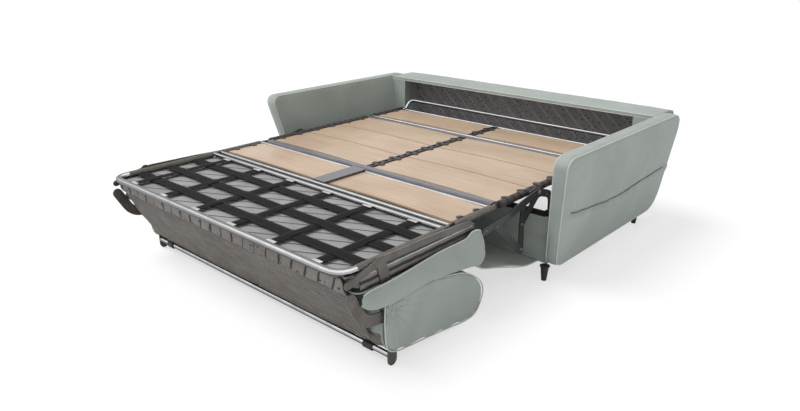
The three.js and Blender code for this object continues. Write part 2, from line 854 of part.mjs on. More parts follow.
// Wide bar of flat oval section across the front of the middle section
function flatBar(y) {
  const r = flatBarHeight / 2;
  const half = flatBarWidth / 2 - r;
  const shape = new THREE.Shape();
  const low = bedHeight - r;
  shape.moveTo(y - half, low);
  shape.lineTo(y + half, low);
  shape.absarc(y + half, bedHeight, r, -Math.PI / 2, Math.PI / 2, false);
  shape.lineTo(y - half, low + 2 * r);
  shape.absarc(y - half, bedHeight, r, Math.PI / 2, (3 * Math.PI) / 2, false);
  return prism(shape, 2 * railInner).applyMatrix4(acrossX).translate(-railInner, 0, 0);
}

// Plate beside the middle rail that carries the lever's pin
function bracket(side) {
  const half = bracketLength / 2;
  const high = bracketHeight / 2;
  const low = high * bracketEndShare;
  const shape = new THREE.Shape();
  shape.moveTo(bedPivotY - half, bedPivotZ - low);
  shape.lineTo(bedPivotY, bedPivotZ - high);
  shape.lineTo(bedPivotY + half, bedPivotZ - low);
  shape.lineTo(bedPivotY + half, bedPivotZ + low);
  shape.lineTo(bedPivotY, bedPivotZ + high);
  shape.lineTo(bedPivotY - half, bedPivotZ + low);
  shape.lineTo(bedPivotY - half, bedPivotZ - low);
  const plate = plateAcrossX(shape, side, bracketInnerX, bracketThickness);
  const pinEnd = leverInnerX + leverThickness + pivotClearance / 2;
  return join(plate, rodAlongX(side * bracketInnerX, side * pinEnd, bedPivotY, bedPivotZ, leverPinRadius));
}

function addHead() {
  const rows = addSlats("head", headHingeY, headEndY, 1);
  sides.forEach(([name, side]) => {
    const tube = rail(side, headHingeY, headEndY, "outside", null, true, rows);
    add("head_rail_" + name, tube, darkPlastic);
  });
  add("head_front_tube", crossTube(headHingeY + crossTubeOffset, outsideEarX - seatGap), chromeSteel);
  add("head_rear_tube", crossTube(headEndY - crossTubeRadius, railInner), chromeSteel);
  const start = headHingeY + crossTubeOffset + crossTubeRadius + clearance;
  const end = headEndY - 2 * crossTubeRadius - clearance;
  add("head_spine", spine(start, end, rows), darkPlastic);
  add("pillow_hoop", hoop(), chromeSteel);
}

// Chrome hoop above the end of the head section: its arms end in eyes that turn on the rear tube
function hoop() {
  const y0 = headEndY - crossTubeRadius;
  const y1 = headEndY + hoopReach;
  const low = new THREE.Vector3(hoopHalfWidth, y0, bedHeight);
  const high = new THREE.Vector3(hoopHalfWidth, y1, bedHeight + hoopRise - hoopRadius);
  const flip = (v) => new THREE.Vector3(-v.x, v.y, v.z);
  const tube = bentTube([low, high, flip(high), flip(low)], hoopRadius, hoopBendRadius);
  const ends = [hoopHalfWidth - hoopEyeHalfWidth, hoopHalfWidth + hoopEyeHalfWidth];
  const eyes = sides.map(([, side]) =>
    rodAlongX(side * ends[0], side * ends[1], y0, bedHeight, hoopEyeRadius, hoopEyeSides),
  );
  const reach = ends[1] + overrun;
  const bore = rodAlongX(-reach, reach, y0, bedHeight, crossTubeRadius + pivotClearance);
  return cut(join(tube, ...eyes), bore);
}

function addKnee() {
  const rows = addSlats("knee", kneeFrontY, middleFrontY, 1);
  sides.forEach(([name, side]) => {
    const tube = rail(side, kneeFrontY, middleFrontY, "inside", "outside", false, rows);
    add("knee_rail_" + name, tube, taupeSteel);
  });
  add("knee_rear_tube", crossTube(middleFrontY - crossTubeOffset, outsideEarX - seatGap), chromeSteel);
  add("knee_front_tube", crossTube(kneeFrontY + crossTubeOffset, insideEarX - seatGap), chromeSteel);
  const half = kneePlateWidth / 2;
  const y0 = kneeFrontY + crossTubeOffset;
  const y1 = middleFrontY - crossTubeOffset;
  const low = bedHeight + crossTubeRadius + seatGap;
  add("knee_plate", block(-half, half, y0, y1, low, low + kneePlateThickness), greySteel);
}

// Seat section: side rails, the tubes round it, and the webbing that carries the seat
function addSeat() {
  const from = bedFootY + footCornerRadius;
  const bosses = seatBossShares.map((share) => mix(from, kneeFrontY, share));
  sides.forEach(([name, side]) => {
    const x = side * bedHalfWidth;
    const tube = rail(side, from, kneeFrontY, null, "outside", false, []);
    const pegs = bosses.map((y) => rodAlongX(x, x + side * sleeveRadius, y, bedHeight, bossRadius));
    add("seat_rail_" + name, join(tube, ...pegs), taupeSteel);
    add("formed_rail_" + name, formedRail(side), taupeSteel);
  });
  add("seat_rear_tube", crossTube(kneeFrontY - crossTubeOffset, outsideEarX - seatGap), chromeSteel);
  add("foot_tube", footTube(), chromeSteel);
  add("seat_webbing", webbing(), webCloth);
  const footY = bedFootY + seatBoardInset;
  const low = seatBoardTopZ - seatBoardThickness;
  const board = block(-bedHalfWidth, bedHalfWidth, footY, kneeFrontY, low, seatBoardTopZ);
  add("seat_lining", board, paleLining);
  add("seat_cushion", seatCushion(), upholstery);
}

// Foot tube: straight across, with ends that turn back into the side rails
function footTube() {
  const x = bedHalfWidth;
  const back = new THREE.Vector3(x, bedFootY + footCornerRadius - clearance, bedHeight);
  const corner = new THREE.Vector3(x, bedFootY, bedHeight);
  const flip = (v) => new THREE.Vector3(-v.x, v.y, v.z);
  const points = [back, corner, flip(corner), flip(back)];
  const bend = footCornerRadius - footCornerEase;
  return bentTube(points, footTubeRadius, bend, tubeSides, footCornerSteps);
}

// Formed outer rail beside the seat frame, dipping at the foot
function formedRail(side) {
  const rear = kneeFrontY + formedRailReach;
  const front = bedFootY + formedRailFootReach;
  const course = formedRailCourse.map(([share, rise]) => [mix(rear, front, share), bedHeight + rise]);
  const hinge = [
    [backrestHingeY - hingePlateLean, bedHeight],
    [backrestHingeY, backrestHingeZ],
  ];
  const plates = [bentStrip(course, formedRailDepth), bentStrip(hinge, footLegWidth)].map((shape) =>
    plateAcrossX(shape, side, formedRailInnerX, formedRailThickness),
  );
  const from = side * formedRailInnerX;
  const to = side * (legInnerX + footLegThickness + pivotClearance / 2);
  return join(...plates, rodAlongX(from, to, backrestHingeY, backrestHingeZ, hingePinRadius));
}

// Woven webbing: bands across the seat and bands along it, joined where they cross
function webbing() {
  const half = railInner - clearance;
  const y0 = bedFootY + footTubeRadius + clearance;
  const y1 = kneeFrontY - crossTubeOffset - crossTubeRadius - clearance;
  const low = bedHeight - webbingThickness / 2;
  const top = low + webbingThickness;
  const wide = webbingCrossWidth / 2;
  const slim = webbingLengthWidth / 2;
  const bands = [];
  for (let i = 0; i < webbingCrossCount; i++) {
    const y = mix(y0, y1, (i + webbingEdgeShare) / (webbingCrossCount - 1 + 2 * webbingEdgeShare));
    bands.push(block(-half, half, y - wide, y + wide, low, top));
  }
  for (let i = 0; i < webbingLengthCount; i++) {
    const x = mix(-half, half, (i + 0.5) / webbingLengthCount);
    bands.push(block(x - slim, x + slim, y0, y1, low, top));
  }
  return join(...bands);
}

// Seat cushion under the seat frame: both faces fall away towards the rim, and the corners are drawn in
function seatCushion() {
  const footY = bedFootY + seatCushionFootInset;
  const kneeY = kneeFrontY + seatCushionKneeOverlap;
  const top = seatBoardTopZ - seatBoardThickness - seatGap;
  const bottom = bedHeight - seatCushionBottomDrop;
  const middle = (bottom + top) / 2;
  const rim = (share) => Math.abs(2 * share - 1) ** cushionRimSharpness;
  const surface = (sign) => (u, v) => {
    const thick = 1 - seatCushionRimShare * Math.max(rim(u), rim(v));
    const bow = 1 - seatCushionDrawShare * cushionBowShare * rim(u) * rim(v);
    return [
      (2 * u - 1) * seatCushionHalfWidth * bow,
      mix(footY, kneeY, 0.5 + (v - 0.5) * bow),
      middle + (sign * (top - bottom) * thick) / 2,
    ];
  };
  return pad(cushionColumns, cushionRows, surface(1), surface(-1));
}

// Backrest cushion: its side outline drawn as shares of its length and height, foot end first
const backrestOutlineShares = [
  [0.0, 0.88],
  [0.01, 0.5],
  [0.07, 0.24],
  [0.35, 0.12],
  [0.9, 0.0],
  [0.985, 0.16],
  [1.0, 0.4],
  [0.93, 0.66],
  [0.72, 0.92],
  [0.4, 1.0],
  [0.08, 0.985],
];

function addBackrest() {
  const low = new THREE.Vector2(backrestFootY, backrestBottomZ);
  const high = new THREE.Vector2(backrestRearY, backrestTopZ);
  const size = high.clone().sub(low);
  const middle = low.clone().lerp(high, 0.5);
  const points = backrestOutlineShares.map((shares) => new THREE.Vector2(...shares).multiply(size).add(low));
  const curve = new THREE.SplineCurve([...points, points[0]]);
  const side = curve.getSpacedPoints(backrestOutlinePoints).slice(0, -1);
  const rings = [];
  for (let i = 0; i <= backrestStations; i++) {
    const across = -Math.cos((Math.PI * i) / backrestStations);
    const draw = 1 - backrestDrawShare * Math.abs(across) ** backrestDrawSharpness;
    const crown = 1 + backrestCrownShare * (1 - across * across);
    rings.push(
      side.map((p) => [
        across * backrestHalfWidth,
        middle.x + (p.x - middle.x) * draw,
        middle.y + Math.min((p.y - middle.y) * draw * crown, backrestTopZ - middle.y),
      ]),
    );
  }
  const body = loft(rings);
  const pockets = sides.map(([, side]) => legPocket(side));
  add("backrest_cushion", cut(body, ...pockets), upholstery);
  sides.forEach(([name, side]) => add("foot_leg_" + name, footLeg(side), taupeSteel));
  const half = legInnerX - clearance;
  add("floor_bar", rodAlongX(-half, half, floorBarY, floorBarZ, floorBarRadius), chromeSteel);
}

// Bent leg plate down to the floor, with a lug round the backrest hinge
function footLeg(side) {
  const elbow = [footLegFloorY, footLegElbowZ];
  const bend = [
    mix(footLegTopY, footLegFloorY, footLegBendYShare),
    mix(footLegTopZ, footLegElbowZ, footLegBendZShare),
  ];
  const leg = [[footLegTopY, footLegTopZ], bend, elbow, [footLegFloorY, footLegWidth / 2]];
  const lug = [elbow, [backrestHingeY, backrestHingeZ]];
  const plates = [leg, lug].map((points) =>
    plateAcrossX(bentStrip(points, footLegWidth), side, legInnerX, footLegThickness),
  );
  const inner = side * (legInnerX - overrun);
  const outer = side * (legInnerX + footLegThickness + overrun);
  const hole = rodAlongX(inner, outer, backrestHingeY, backrestHingeZ, hingePinRadius + pivotClearance);
  return cut(join(...plates), hole);
}

// Slot in the end of the backrest cushion for the leg and the hinge plate beside it
function legPocket(side) {
  const gap = legPocketClearance;
  const outer = legInnerX + footLegThickness + gap;
  const foot = backrestFootY - overrun;
  const rear = footLegFloorY + footLegWidth / 2 + gap;
  const hingeRear = backrestHingeY + footLegWidth / 2 + gap;
  const hingeLow = backrestHingeZ - footLegWidth - 2 * gap;
  const legSlot = block(legInnerX - seatGap, outer, foot, rear, backrestBottomZ - overrun, hingeLow + gap);
  const hingeSlot = block(formedRailInnerX - gap, outer, foot, hingeRear, hingeLow, backrestTopZ + overrun);
  const slot = join(legSlot, hingeSlot);
  return side > 0 ? slot : turnedOut(mirrored(slot));
}

// Cloth apron from the foot of the front panel out to the underside of the seat
function addApron() {
  const start = new THREE.Vector2(frontPanelY - seatGap, armBottomZ + clothThickness);
  const top = bedHeight - seatCushionBottomDrop - apronTopDrop;
  const size = new THREE.Vector2(kneeFrontY - frontPanelY, top - start.y);
  const points = apronCourseShares.map((shares) => new THREE.Vector2(...shares).multiply(size).add(start));
  const curve = new THREE.SplineCurve(points);
  const half = leverInnerX - apronInset;
  const surface = (sign) => (u, v) => {
    const here = curve.getPoint(v);
    const along = curve.getTangent(v);
    const lift = (sign * clothThickness) / 2;
    const wave = Math.cos(2 * Math.PI * u * apronRippleCount);
    const sag = Math.sin(v * Math.PI) * wave * apronRipple;
    return [(2 * u - 1) * half, here.x - along.y * lift, here.y + along.x * lift + sag];
  };
  add("apron_cloth", pad(apronColumns, apronRows, surface(1), surface(-1)), upholstery);
}

// Lining sheet that closes the foot of the bed, from the foot tube down to the backrest
function addLiningSheet() {
  const topY = bedFootY + footTubeRadius + liningSheetThickness;
  const topZ = bedHeight - footTubeRadius;
  const footY = backrestFootY - liningSheetFootReach;
  const footZ = mix(backrestBottomZ, backrestTopZ, liningSheetFootShare);
  const surface = (sign) => (u, v) => {
    const slack = Math.sin(v * Math.PI) * liningSheetSlack;
    const y = mix(topY, footY, v) - slack + (sign * liningSheetThickness) / 2;
    return [(2 * u - 1) * railInner, y, mix(topZ, footZ, v)];
  };
  add("foot_lining", pad(liningSheetColumns, liningSheetRows, surface(1), surface(-1)), darkLining);
}

addCarcass();
addApron();
addLiningSheet();
addLift();
addMiddle();
addHead();
addKnee();
addSeat();
addBackrest();

export default sofa;
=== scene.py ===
import json
import math

import bmesh
import bpy
import numpy as np
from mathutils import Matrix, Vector


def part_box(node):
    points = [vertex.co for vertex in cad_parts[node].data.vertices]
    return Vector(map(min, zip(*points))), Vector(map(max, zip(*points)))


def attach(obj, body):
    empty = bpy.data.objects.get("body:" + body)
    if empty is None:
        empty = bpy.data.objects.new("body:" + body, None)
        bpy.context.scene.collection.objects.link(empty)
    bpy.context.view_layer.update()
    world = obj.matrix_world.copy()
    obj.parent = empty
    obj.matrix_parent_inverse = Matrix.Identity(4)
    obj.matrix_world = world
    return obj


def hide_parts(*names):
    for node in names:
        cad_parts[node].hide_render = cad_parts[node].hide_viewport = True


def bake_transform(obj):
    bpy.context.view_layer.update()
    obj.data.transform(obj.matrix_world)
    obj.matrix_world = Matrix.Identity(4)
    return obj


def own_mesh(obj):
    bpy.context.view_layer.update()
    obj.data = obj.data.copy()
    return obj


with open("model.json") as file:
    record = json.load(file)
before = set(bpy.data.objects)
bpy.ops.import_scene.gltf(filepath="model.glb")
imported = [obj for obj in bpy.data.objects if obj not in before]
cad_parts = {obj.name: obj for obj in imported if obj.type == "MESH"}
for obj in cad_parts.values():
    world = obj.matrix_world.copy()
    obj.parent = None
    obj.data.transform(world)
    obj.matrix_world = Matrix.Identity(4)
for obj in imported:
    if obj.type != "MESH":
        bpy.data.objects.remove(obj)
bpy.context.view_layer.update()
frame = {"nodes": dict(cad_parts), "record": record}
record = frame["record"]
nodes = frame["nodes"]
SIDES = (("left", -1), ("right", 1))
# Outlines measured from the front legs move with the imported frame, whose seat rail gives the shift
SEAT_RAIL_START = -1.097
FRAME_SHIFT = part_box("seat_rail_left")[0].y - SEAT_RAIL_START
QUARTER_TURN = math.radians(90)


# Shader helpers
def feed(tree, value, socket):
    if isinstance(value, (int, float)):
        socket.default_value = value
    elif isinstance(value, tuple):
        socket.default_value = (*value, 1)
    else:
        tree.links.new(value, socket)


def new_material(name):
    material = bpy.data.materials.new(name)
    material.use_nodes = True
    tree = material.node_tree
    tree.nodes.clear()
    output = tree.nodes.new("ShaderNodeOutputMaterial")
    shader = tree.nodes.new("ShaderNodeBsdfPrincipled")
    tree.links.new(shader.outputs["BSDF"], output.inputs["Surface"])
    return material, tree, shader


def set_values(shader, **values):
    for label, value in values.items():
        shader.inputs[label.replace("_", " ")].default_value = value


def new_group(name, inputs, outputs):
    tree = bpy.data.node_groups.new(name, "ShaderNodeTree")
    for label, kind, value in inputs:
        socket = tree.interface.new_socket(label, in_out="INPUT", socket_type=kind)
        if value is not None:
            socket.default_value = value
    for label, kind in outputs:
        tree.interface.new_socket(label, in_out="OUTPUT", socket_type=kind)
    return tree, tree.nodes.new("NodeGroupInput").outputs, tree.nodes.new("NodeGroupOutput").inputs


def noise(tree, vector, scale, detail=3.0, roughness=0.55, distortion=0.0):
    node = tree.nodes.new("ShaderNodeTexNoise")
    tree.links.new(vector, node.inputs["Vector"])
    set_values(node, Scale=scale, Detail=detail, Roughness=roughness, Distortion=distortion)
    return node.outputs["Fac"]


def stripes(tree, vector, scale, distortion=0.0):
    node = tree.nodes.new("ShaderNodeTexWave")
    tree.links.new(vector, node.inputs["Vector"])
    set_values(node, Scale=scale, Distortion=distortion, Detail=1.0)
    return node.outputs["Fac"]


def mapped(tree, vector, scale=(1, 1, 1), turn=(0, 0, 0)):
    node = tree.nodes.new("ShaderNodeMapping")
    tree.links.new(vector, node.inputs["Vector"])
    set_values(node, Scale=scale, Rotation=turn)
    return node.outputs["Vector"]


def remapped(tree, value, low, high, to_low=0.0, to_high=1.0):
    node = tree.nodes.new("ShaderNodeMapRange")
    tree.links.new(value, node.inputs["Value"])
    set_values(node, From_Min=low, From_Max=high, To_Min=to_low, To_Max=to_high)
    return node.outputs["Result"]


def math_node(tree, operation, first, second):
    node = tree.nodes.new("ShaderNodeMath")
    node.operation = operation
    feed(tree, first, node.inputs[0])
    feed(tree, second, node.inputs[1])
    return node.outputs["Value"]


def weighted(tree, first, first_share, second, second_share):
    parts = [math_node(tree, "MULTIPLY", *part) for part in ((first, first_share), (second, second_share))]
    return math_node(tree, "ADD", *parts)


def blended(tree, factor, first, second):
    node = tree.nodes.new("ShaderNodeMix")
    node.data_type = "RGBA"
    mix_factor, color_a, color_b = (node.inputs[i] for i in (0, 6, 7))
    feed(tree, factor, mix_factor)
    feed(tree, first, color_a)
    feed(tree, second, color_b)
    return node.outputs[2]


def bumped(tree, height, strength, distance):
    node = tree.nodes.new("ShaderNodeBump")
    node.inputs["Distance"].default_value = distance
    feed(tree, strength, node.inputs["Strength"])
    tree.links.new(height, node.inputs["Height"])
    return node.outputs["Normal"]


def part_of(tree, vector, axis):
    node = tree.nodes.new("ShaderNodeSeparateXYZ")
    tree.links.new(vector, node.inputs["Vector"])
    return node.outputs[axis]


def place_of(tree, kind="Object"):
    return tree.nodes.new("ShaderNodeTexCoord").outputs[kind]


# Shared effects, each built once
VECTOR_IN = ("Vector", "NodeSocketVector", None)
COLOR_OUT = ("Color", "NodeSocketColor")
NORMAL_OUT = ("Normal", "NodeSocketVector")


def number_in(label, value):
    return label, "NodeSocketFloat", value


def color_in(label, *value):
    return label, "NodeSocketColor", (*value, 1)


def number_out(label):
    return label, "NodeSocketFloat"


def build_cloth_tone():
    tree, given, made = new_group(
        "cloth_tone",
        [VECTOR_IN, color_in("Color", 0.4, 0.4, 0.4), color_in("Worn Color", 0.5, 0.5, 0.5), number_in("Mottle", 0.5)],
        [COLOR_OUT],
    )
    broad = noise(tree, given["Vector"], 5.0, detail=4.0, distortion=0.6)
    fine = noise(tree, given["Vector"], 160.0)
    both = weighted(tree, broad, 0.7, fine, 0.3)
    mask = math_node(tree, "MULTIPLY", remapped(tree, both, 0.36, 0.64), given["Mottle"])
    tree.links.new(blended(tree, mask, given["Color"], given["Worn Color"]), made["Color"])
    return tree


def build_nap_relief():
    tree, given, made = new_group("nap_relief", [VECTOR_IN, number_in("Strength", 0.3)], [NORMAL_OUT])
    thread_scale, pile_scale = 210.0, 420.0
    warp = stripes(tree, mapped(tree, given["Vector"], (1, 0.6, 1)), thread_scale, 1.2)
    weft = stripes(tree, mapped(tree, given["Vector"], turn=(0, QUARTER_TURN, 0)), thread_scale, 1.2)
    pile = noise(tree, given["Vector"], pile_scale, detail=4.0)
    height = weighted(tree, math_node(tree, "ADD", warp, weft), 0.25, pile, 0.5)
    tree.links.new(bumped(tree, height, given["Strength"], 0.0015), made["Normal"])
    return tree


def build_quilting():
    tree, given, made = new_group(
        "quilting", [VECTOR_IN, number_in("Strength", 0.6)],
        [number_out("Lines"), number_out("Marks"), NORMAL_OUT],
    )
    rows = stripes(tree, given["Vector"], 5.2, 0.15)
    spots = tree.nodes.new("ShaderNodeTexVoronoi")
    set_values(spots, Scale=34.0, Randomness=0.55)
    tree.links.new(mapped(tree, given["Vector"], (1.0, 0.45, 1.0)), spots.inputs["Vector"])
    puff = math_node(tree, "SUBTRACT", 1.0, math_node(tree, "POWER", rows, 4.0))
    creases = noise(tree, given["Vector"], 30.0, detail=4.0, distortion=1.0)
    height = weighted(tree, puff, 1.0, creases, 0.5)
    tree.links.new(remapped(tree, rows, 0.93, 0.99), made["Lines"])
    tree.links.new(remapped(tree, spots.outputs["Distance"], 0.20, 0.15), made["Marks"])
    tree.links.new(bumped(tree, height, given["Strength"], 0.004), made["Normal"])
    return tree


def build_birch_figure():
    tree, given, made = new_group(
        "birch_figure",
        [VECTOR_IN, color_in("Color", 0.6, 0.45, 0.3), color_in("Grain Color", 0.5, 0.35, 0.22)],
        [COLOR_OUT, NORMAL_OUT],
    )
    streaks = noise(tree, mapped(tree, given["Vector"], (0.06, 1, 1)), 70.0, 5.0, 0.6, 0.8)
    pores = noise(tree, mapped(tree, given["Vector"], (0.04, 1, 1)), 420.0, detail=2.0)
    cloud = noise(tree, mapped(tree, given["Vector"], (0.5, 1, 1)), 6.0)
    figure = weighted(tree, streaks, 0.5, cloud, 0.5)
    mask = math_node(tree, "MULTIPLY", remapped(tree, figure, 0.38, 0.66), 0.8)
    tree.links.new(blended(tree, mask, given["Color"], given["Grain Color"]), made["Color"])
    tree.links.new(bumped(tree, pores, 0.25, 0.0006), made["Normal"])
    return tree


def build_rubbed_metal():
    tree, given, made = new_group(
        "rubbed_metal",
        [VECTOR_IN, color_in("Color", 0.5, 0.5, 0.5), color_in("Rubbed Color", 0.6, 0.6, 0.6),
         number_in("Roughness", 0.3)],
        [COLOR_OUT, number_out("Roughness"), NORMAL_OUT],
    )
    smears = noise(tree, given["Vector"], 14.0, detail=5.0, distortion=0.7)
    scratches = noise(tree, mapped(tree, given["Vector"], (0.08, 1, 1)), 500.0, detail=2.0)
    rubbed = remapped(tree, smears, 0.42, 0.68)
    rough = math_node(tree, "ADD", given["Roughness"], remapped(tree, smears, 0.3, 0.7, -0.05, 0.08))
    tree.links.new(blended(tree, rubbed, given["Color"], given["Rubbed Color"]), made["Color"])
    tree.links.new(rough, made["Roughness"])
    tree.links.new(bumped(tree, scratches, 0.12, 0.0003), made["Normal"])
    return tree


def build_band_weave():
    tree, given, made = new_group(
        "band_weave", [VECTOR_IN], [number_out("Selvedge"), number_out("Threads"), NORMAL_OUT])
    across = part_of(tree, given["Vector"], "Y")
    from_middle = math_node(tree, "ABSOLUTE", math_node(tree, "SUBTRACT", across, 0.5), 0.0)
    ribs = stripes(tree, given["Vector"], 90.0, 0.3)
    cords = stripes(tree, mapped(tree, given["Vector"], turn=(0, 0, QUARTER_TURN)), 1.6)
    threads = weighted(tree, ribs, 0.6, cords, 0.4)
    tree.links.new(remapped(tree, from_middle, 0.33, 0.36), made["Selvedge"])
    tree.links.new(threads, made["Threads"])
    tree.links.new(bumped(tree, threads, 0.5, 0.0012), made["Normal"])
    return tree


GROUPS = {
    "cloth_tone": build_cloth_tone(),
    "nap_relief": build_nap_relief(),
    "quilting": build_quilting(),
    "birch_figure": build_birch_figure(),
    "rubbed_metal": build_rubbed_metal(),
    "band_weave": build_band_weave(),
}


def use_group(tree, name, vector, **values):
    node = tree.nodes.new("ShaderNodeGroup")
    node.node_tree = GROUPS[name]
    tree.links.new(vector, node.inputs["Vector"])
    for label, value in values.items():
        feed(tree, value, node.inputs[label.replace("_", " ")])
    return node.outputs


# Finishes of the sofa
def upholstery_cloth(name, color, worn, mottle=0.6, relief=0.25):
    material, tree, shader = new_material(name)
    where = place_of(tree)
    tone = use_group(tree, "cloth_tone", where, Color=color, Worn_Color=worn, Mottle=mottle)
    nap = use_group(tree, "nap_relief", where, Strength=relief)
    tree.links.new(tone["Color"], shader.inputs["Base Color"])
    tree.links.new(nap["Normal"], shader.inputs["Normal"])
    set_values(shader, Roughness=0.88, Sheen_Weight=0.25, Sheen_Roughness=0.45, Specular_IOR_Level=0.25)
    return material


def quilted_lining(name, color, line_color, mark_color, turn, strength):
    material, tree, shader = new_material(name)
    quilt = use_group(tree, "quilting", mapped(tree, place_of(tree), turn=turn), Strength=strength)
    tone = use_group(tree, "cloth_tone", place_of(tree), Color=color, Worn_Color=line_color, Mottle=0.35)
    lined = blended(tree, quilt["Lines"], tone["Color"], line_color)
    tree.links.new(blended(tree, quilt["Marks"], lined, mark_color), shader.inputs["Base Color"])
    tree.links.new(quilt["Normal"], shader.inputs["Normal"])
    set_values(shader, Roughness=0.8, Specular_IOR_Level=0.3)
    return material


def ribbed_cloth(name, color, rib_color):
    material, tree, shader = new_material(name)
    where = place_of(tree)
    rib_lean, streak_lean = math.radians(55), math.radians(-35)
    ribs = stripes(tree, mapped(tree, where, turn=(0, rib_lean, 0)), 15.0, 6.0)
    streaks = noise(tree, mapped(tree, where, (0.25, 1, 1), (0, streak_lean, 0)), 60.0, detail=4.0)
    tone = use_group(tree, "cloth_tone", where, Color=color, Worn_Color=rib_color, Mottle=0.45)
    raised = math_node(tree, "MULTIPLY", remapped(tree, ribs, 0.30, 0.95), remapped(tree, streaks, 0.35, 0.65))
    tree.links.new(blended(tree, raised, tone["Color"], rib_color), shader.inputs["Base Color"])
    tree.links.new(bumped(tree, ribs, 0.6, 0.002), shader.inputs["Normal"])
    set_values(shader, Roughness=0.78, Specular_IOR_Level=0.3)
    return material


def metal(name, color, rubbed, roughness, metallic, coat=0.0):
    material, tree, shader = new_material(name)
    rub = use_group(tree, "rubbed_metal", place_of(tree), Color=color, Rubbed_Color=rubbed, Roughness=roughness)
    for label, socket in (("Color", "Base Color"), ("Roughness", "Roughness"), ("Normal", "Normal")):
        tree.links.new(rub[label], shader.inputs[socket])
    set_values(shader, Metallic=metallic, Coat_Weight=coat)
    return material


def bright_tube():
    """Polished tube with painted reflection in its colour: a painted lit flank, a duller crest, and painted shade
    below and along its rims.
    """
    material = metal("chrome_tube", (0.84, 0.84, 0.85), (0.68, 0.685, 0.70), 0.2, 1.0)
    tree = material.node_tree
    shader = next(node for node in tree.nodes if node.type == "BSDF_PRINCIPLED")
    color = shader.inputs["Base Color"].links[0].from_socket
    # Painted shade along the rims: the Layer Weight darkens the colour where the tube is seen edge-on
    edge = tree.nodes.new("ShaderNodeLayerWeight")
    edge.inputs["Blend"].default_value = 0.45
    painted_rim_shade = remapped(tree, edge.outputs["Facing"], 0.3, 0.75)
    # Painted reflection: the colour is banded by how far the surface faces up, dark below, lit on the flank and duller
    # on the crest
    facing_up = part_of(tree, place_of(tree, "Normal"), "Z")
    painted_reflection_bands = blended(tree, remapped(tree, facing_up, 0.05, 0.5), (0.11, 0.105, 0.10), color)
    painted_reflection_bands = blended(tree, remapped(tree, facing_up, 0.86, 0.97), painted_reflection_bands, (0.30, 0.295, 0.29))
    tree.links.new(blended(tree, painted_rim_shade, painted_reflection_bands, (0.10, 0.10, 0.105)), shader.inputs["Base Color"])
    return material


def birch_ply():
    material, tree, shader = new_material("birch")
    where = place_of(tree)
    figure = use_group(tree, "birch_figure", where, Color=(0.56, 0.418, 0.298), Grain_Color=(0.40, 0.275, 0.180))
    facing_up = part_of(tree, place_of(tree, "Normal"), "Z")
    edge = remapped(tree, math_node(tree, "ABSOLUTE", facing_up, 0.0), 0.5, 0.3)
    plies = stripes(tree, mapped(tree, where, turn=(0, QUARTER_TURN, 0)), 130.0)
    layered = blended(tree, plies, (0.40, 0.26, 0.15), (0.66, 0.50, 0.34))
    tree.links.new(blended(tree, edge, figure["Color"], layered), shader.inputs["Base Color"])
    tree.links.new(figure["Normal"], shader.inputs["Normal"])
    set_values(shader, Roughness=0.42, Coat_Weight=0.15)
    return material


def moulded_plastic(name, color, worn):
    material, tree, shader = new_material(name)
    where = place_of(tree)
    tone = use_group(tree, "cloth_tone", where, Color=color, Worn_Color=worn, Mottle=0.7)
    tree.links.new(tone["Color"], shader.inputs["Base Color"])
    tree.links.new(bumped(tree, noise(tree, where, 700.0), 0.2, 0.0004), shader.inputs["Normal"])
    set_values(shader, Roughness=0.45)
    return material


def woven_band():
    material, tree, shader = new_material("webbing")
    weave = use_group(tree, "band_weave", place_of(tree, "UV"))
    base = blended(tree, weave["Threads"], (0.004, 0.004, 0.0045), (0.012, 0.0115, 0.012))
    tree.links.new(blended(tree, weave["Selvedge"], base, (0.022, 0.021, 0.022)), shader.inputs["Base Color"])
    tree.links.new(weave["Normal"], shader.inputs["Normal"])
    set_values(shader, Roughness=0.8, Specular_IOR_Level=0.2)
    return material


def finish(build, name, *values):
    return name, build(name, *values)


FINISHES = dict([
    finish(upholstery_cloth, "upholstery", (0.335, 0.375, 0.346), (0.425, 0.468, 0.436)),
    # Painted highlight: the welt cloth is lighter than the upholstery, for light catching the piping and hems
    finish(upholstery_cloth, "welt", (0.54, 0.58, 0.55), (0.62, 0.66, 0.63), 0.5, 0.4),
    # Painted shade: this dark cloth stands in for the shade in the groove of the arms' seam
    finish(upholstery_cloth, "seam_groove_shade", (0.130, 0.150, 0.138), (0.190, 0.212, 0.198), 0.5, 0.4),
    finish(quilted_lining, "dark_lining", (0.320, 0.306, 0.312), (0.520, 0.500, 0.510), (0.110, 0.102, 0.106),
           (0, math.radians(48), 0), 0.5),
    finish(quilted_lining, "pale_lining", (0.385, 0.382, 0.384), (0.070, 0.066, 0.068), (0.022, 0.020, 0.021),
           (0, 0, math.radians(62)), 0.6),
    finish(quilted_lining, "foot_quilt", (0.270, 0.255, 0.240), (0.045, 0.040, 0.037), (0.020, 0.018, 0.017),
           (0, math.radians(-32), 0), 0.9),
    finish(ribbed_cloth, "foot_twill", (0.110, 0.098, 0.088), (0.250, 0.232, 0.215)),
    finish(metal, "clip_plate", (0.72, 0.72, 0.71), (0.50, 0.50, 0.49), 0.3, 0.9),
    finish(metal, "black_steel", (0.012, 0.012, 0.012), (0.022, 0.021, 0.021), 0.38, 0.2, 0.3),
    finish(metal, "taupe_steel", (0.100, 0.088, 0.078), (0.150, 0.135, 0.122), 0.34, 0.45, 0.2),
    finish(metal, "grey_steel", (0.150, 0.146, 0.168), (0.200, 0.196, 0.215), 0.34, 0.45, 0.2),
    finish(moulded_plastic, "dark_plastic", (0.022, 0.020, 0.020), (0.045, 0.042, 0.040)),
])
FINISHES.update(webbing=woven_band(), birch=birch_ply(), chrome_tube=bright_tube())


def dress_frame():
    crease = math.radians(38)
    for subpart in record["subparts"]:
        mesh = nodes[subpart["node"]].data
        mesh.materials.clear()
        mesh.materials.append(FINISHES[subpart["material_slot"]])
        shade(mesh, crease)


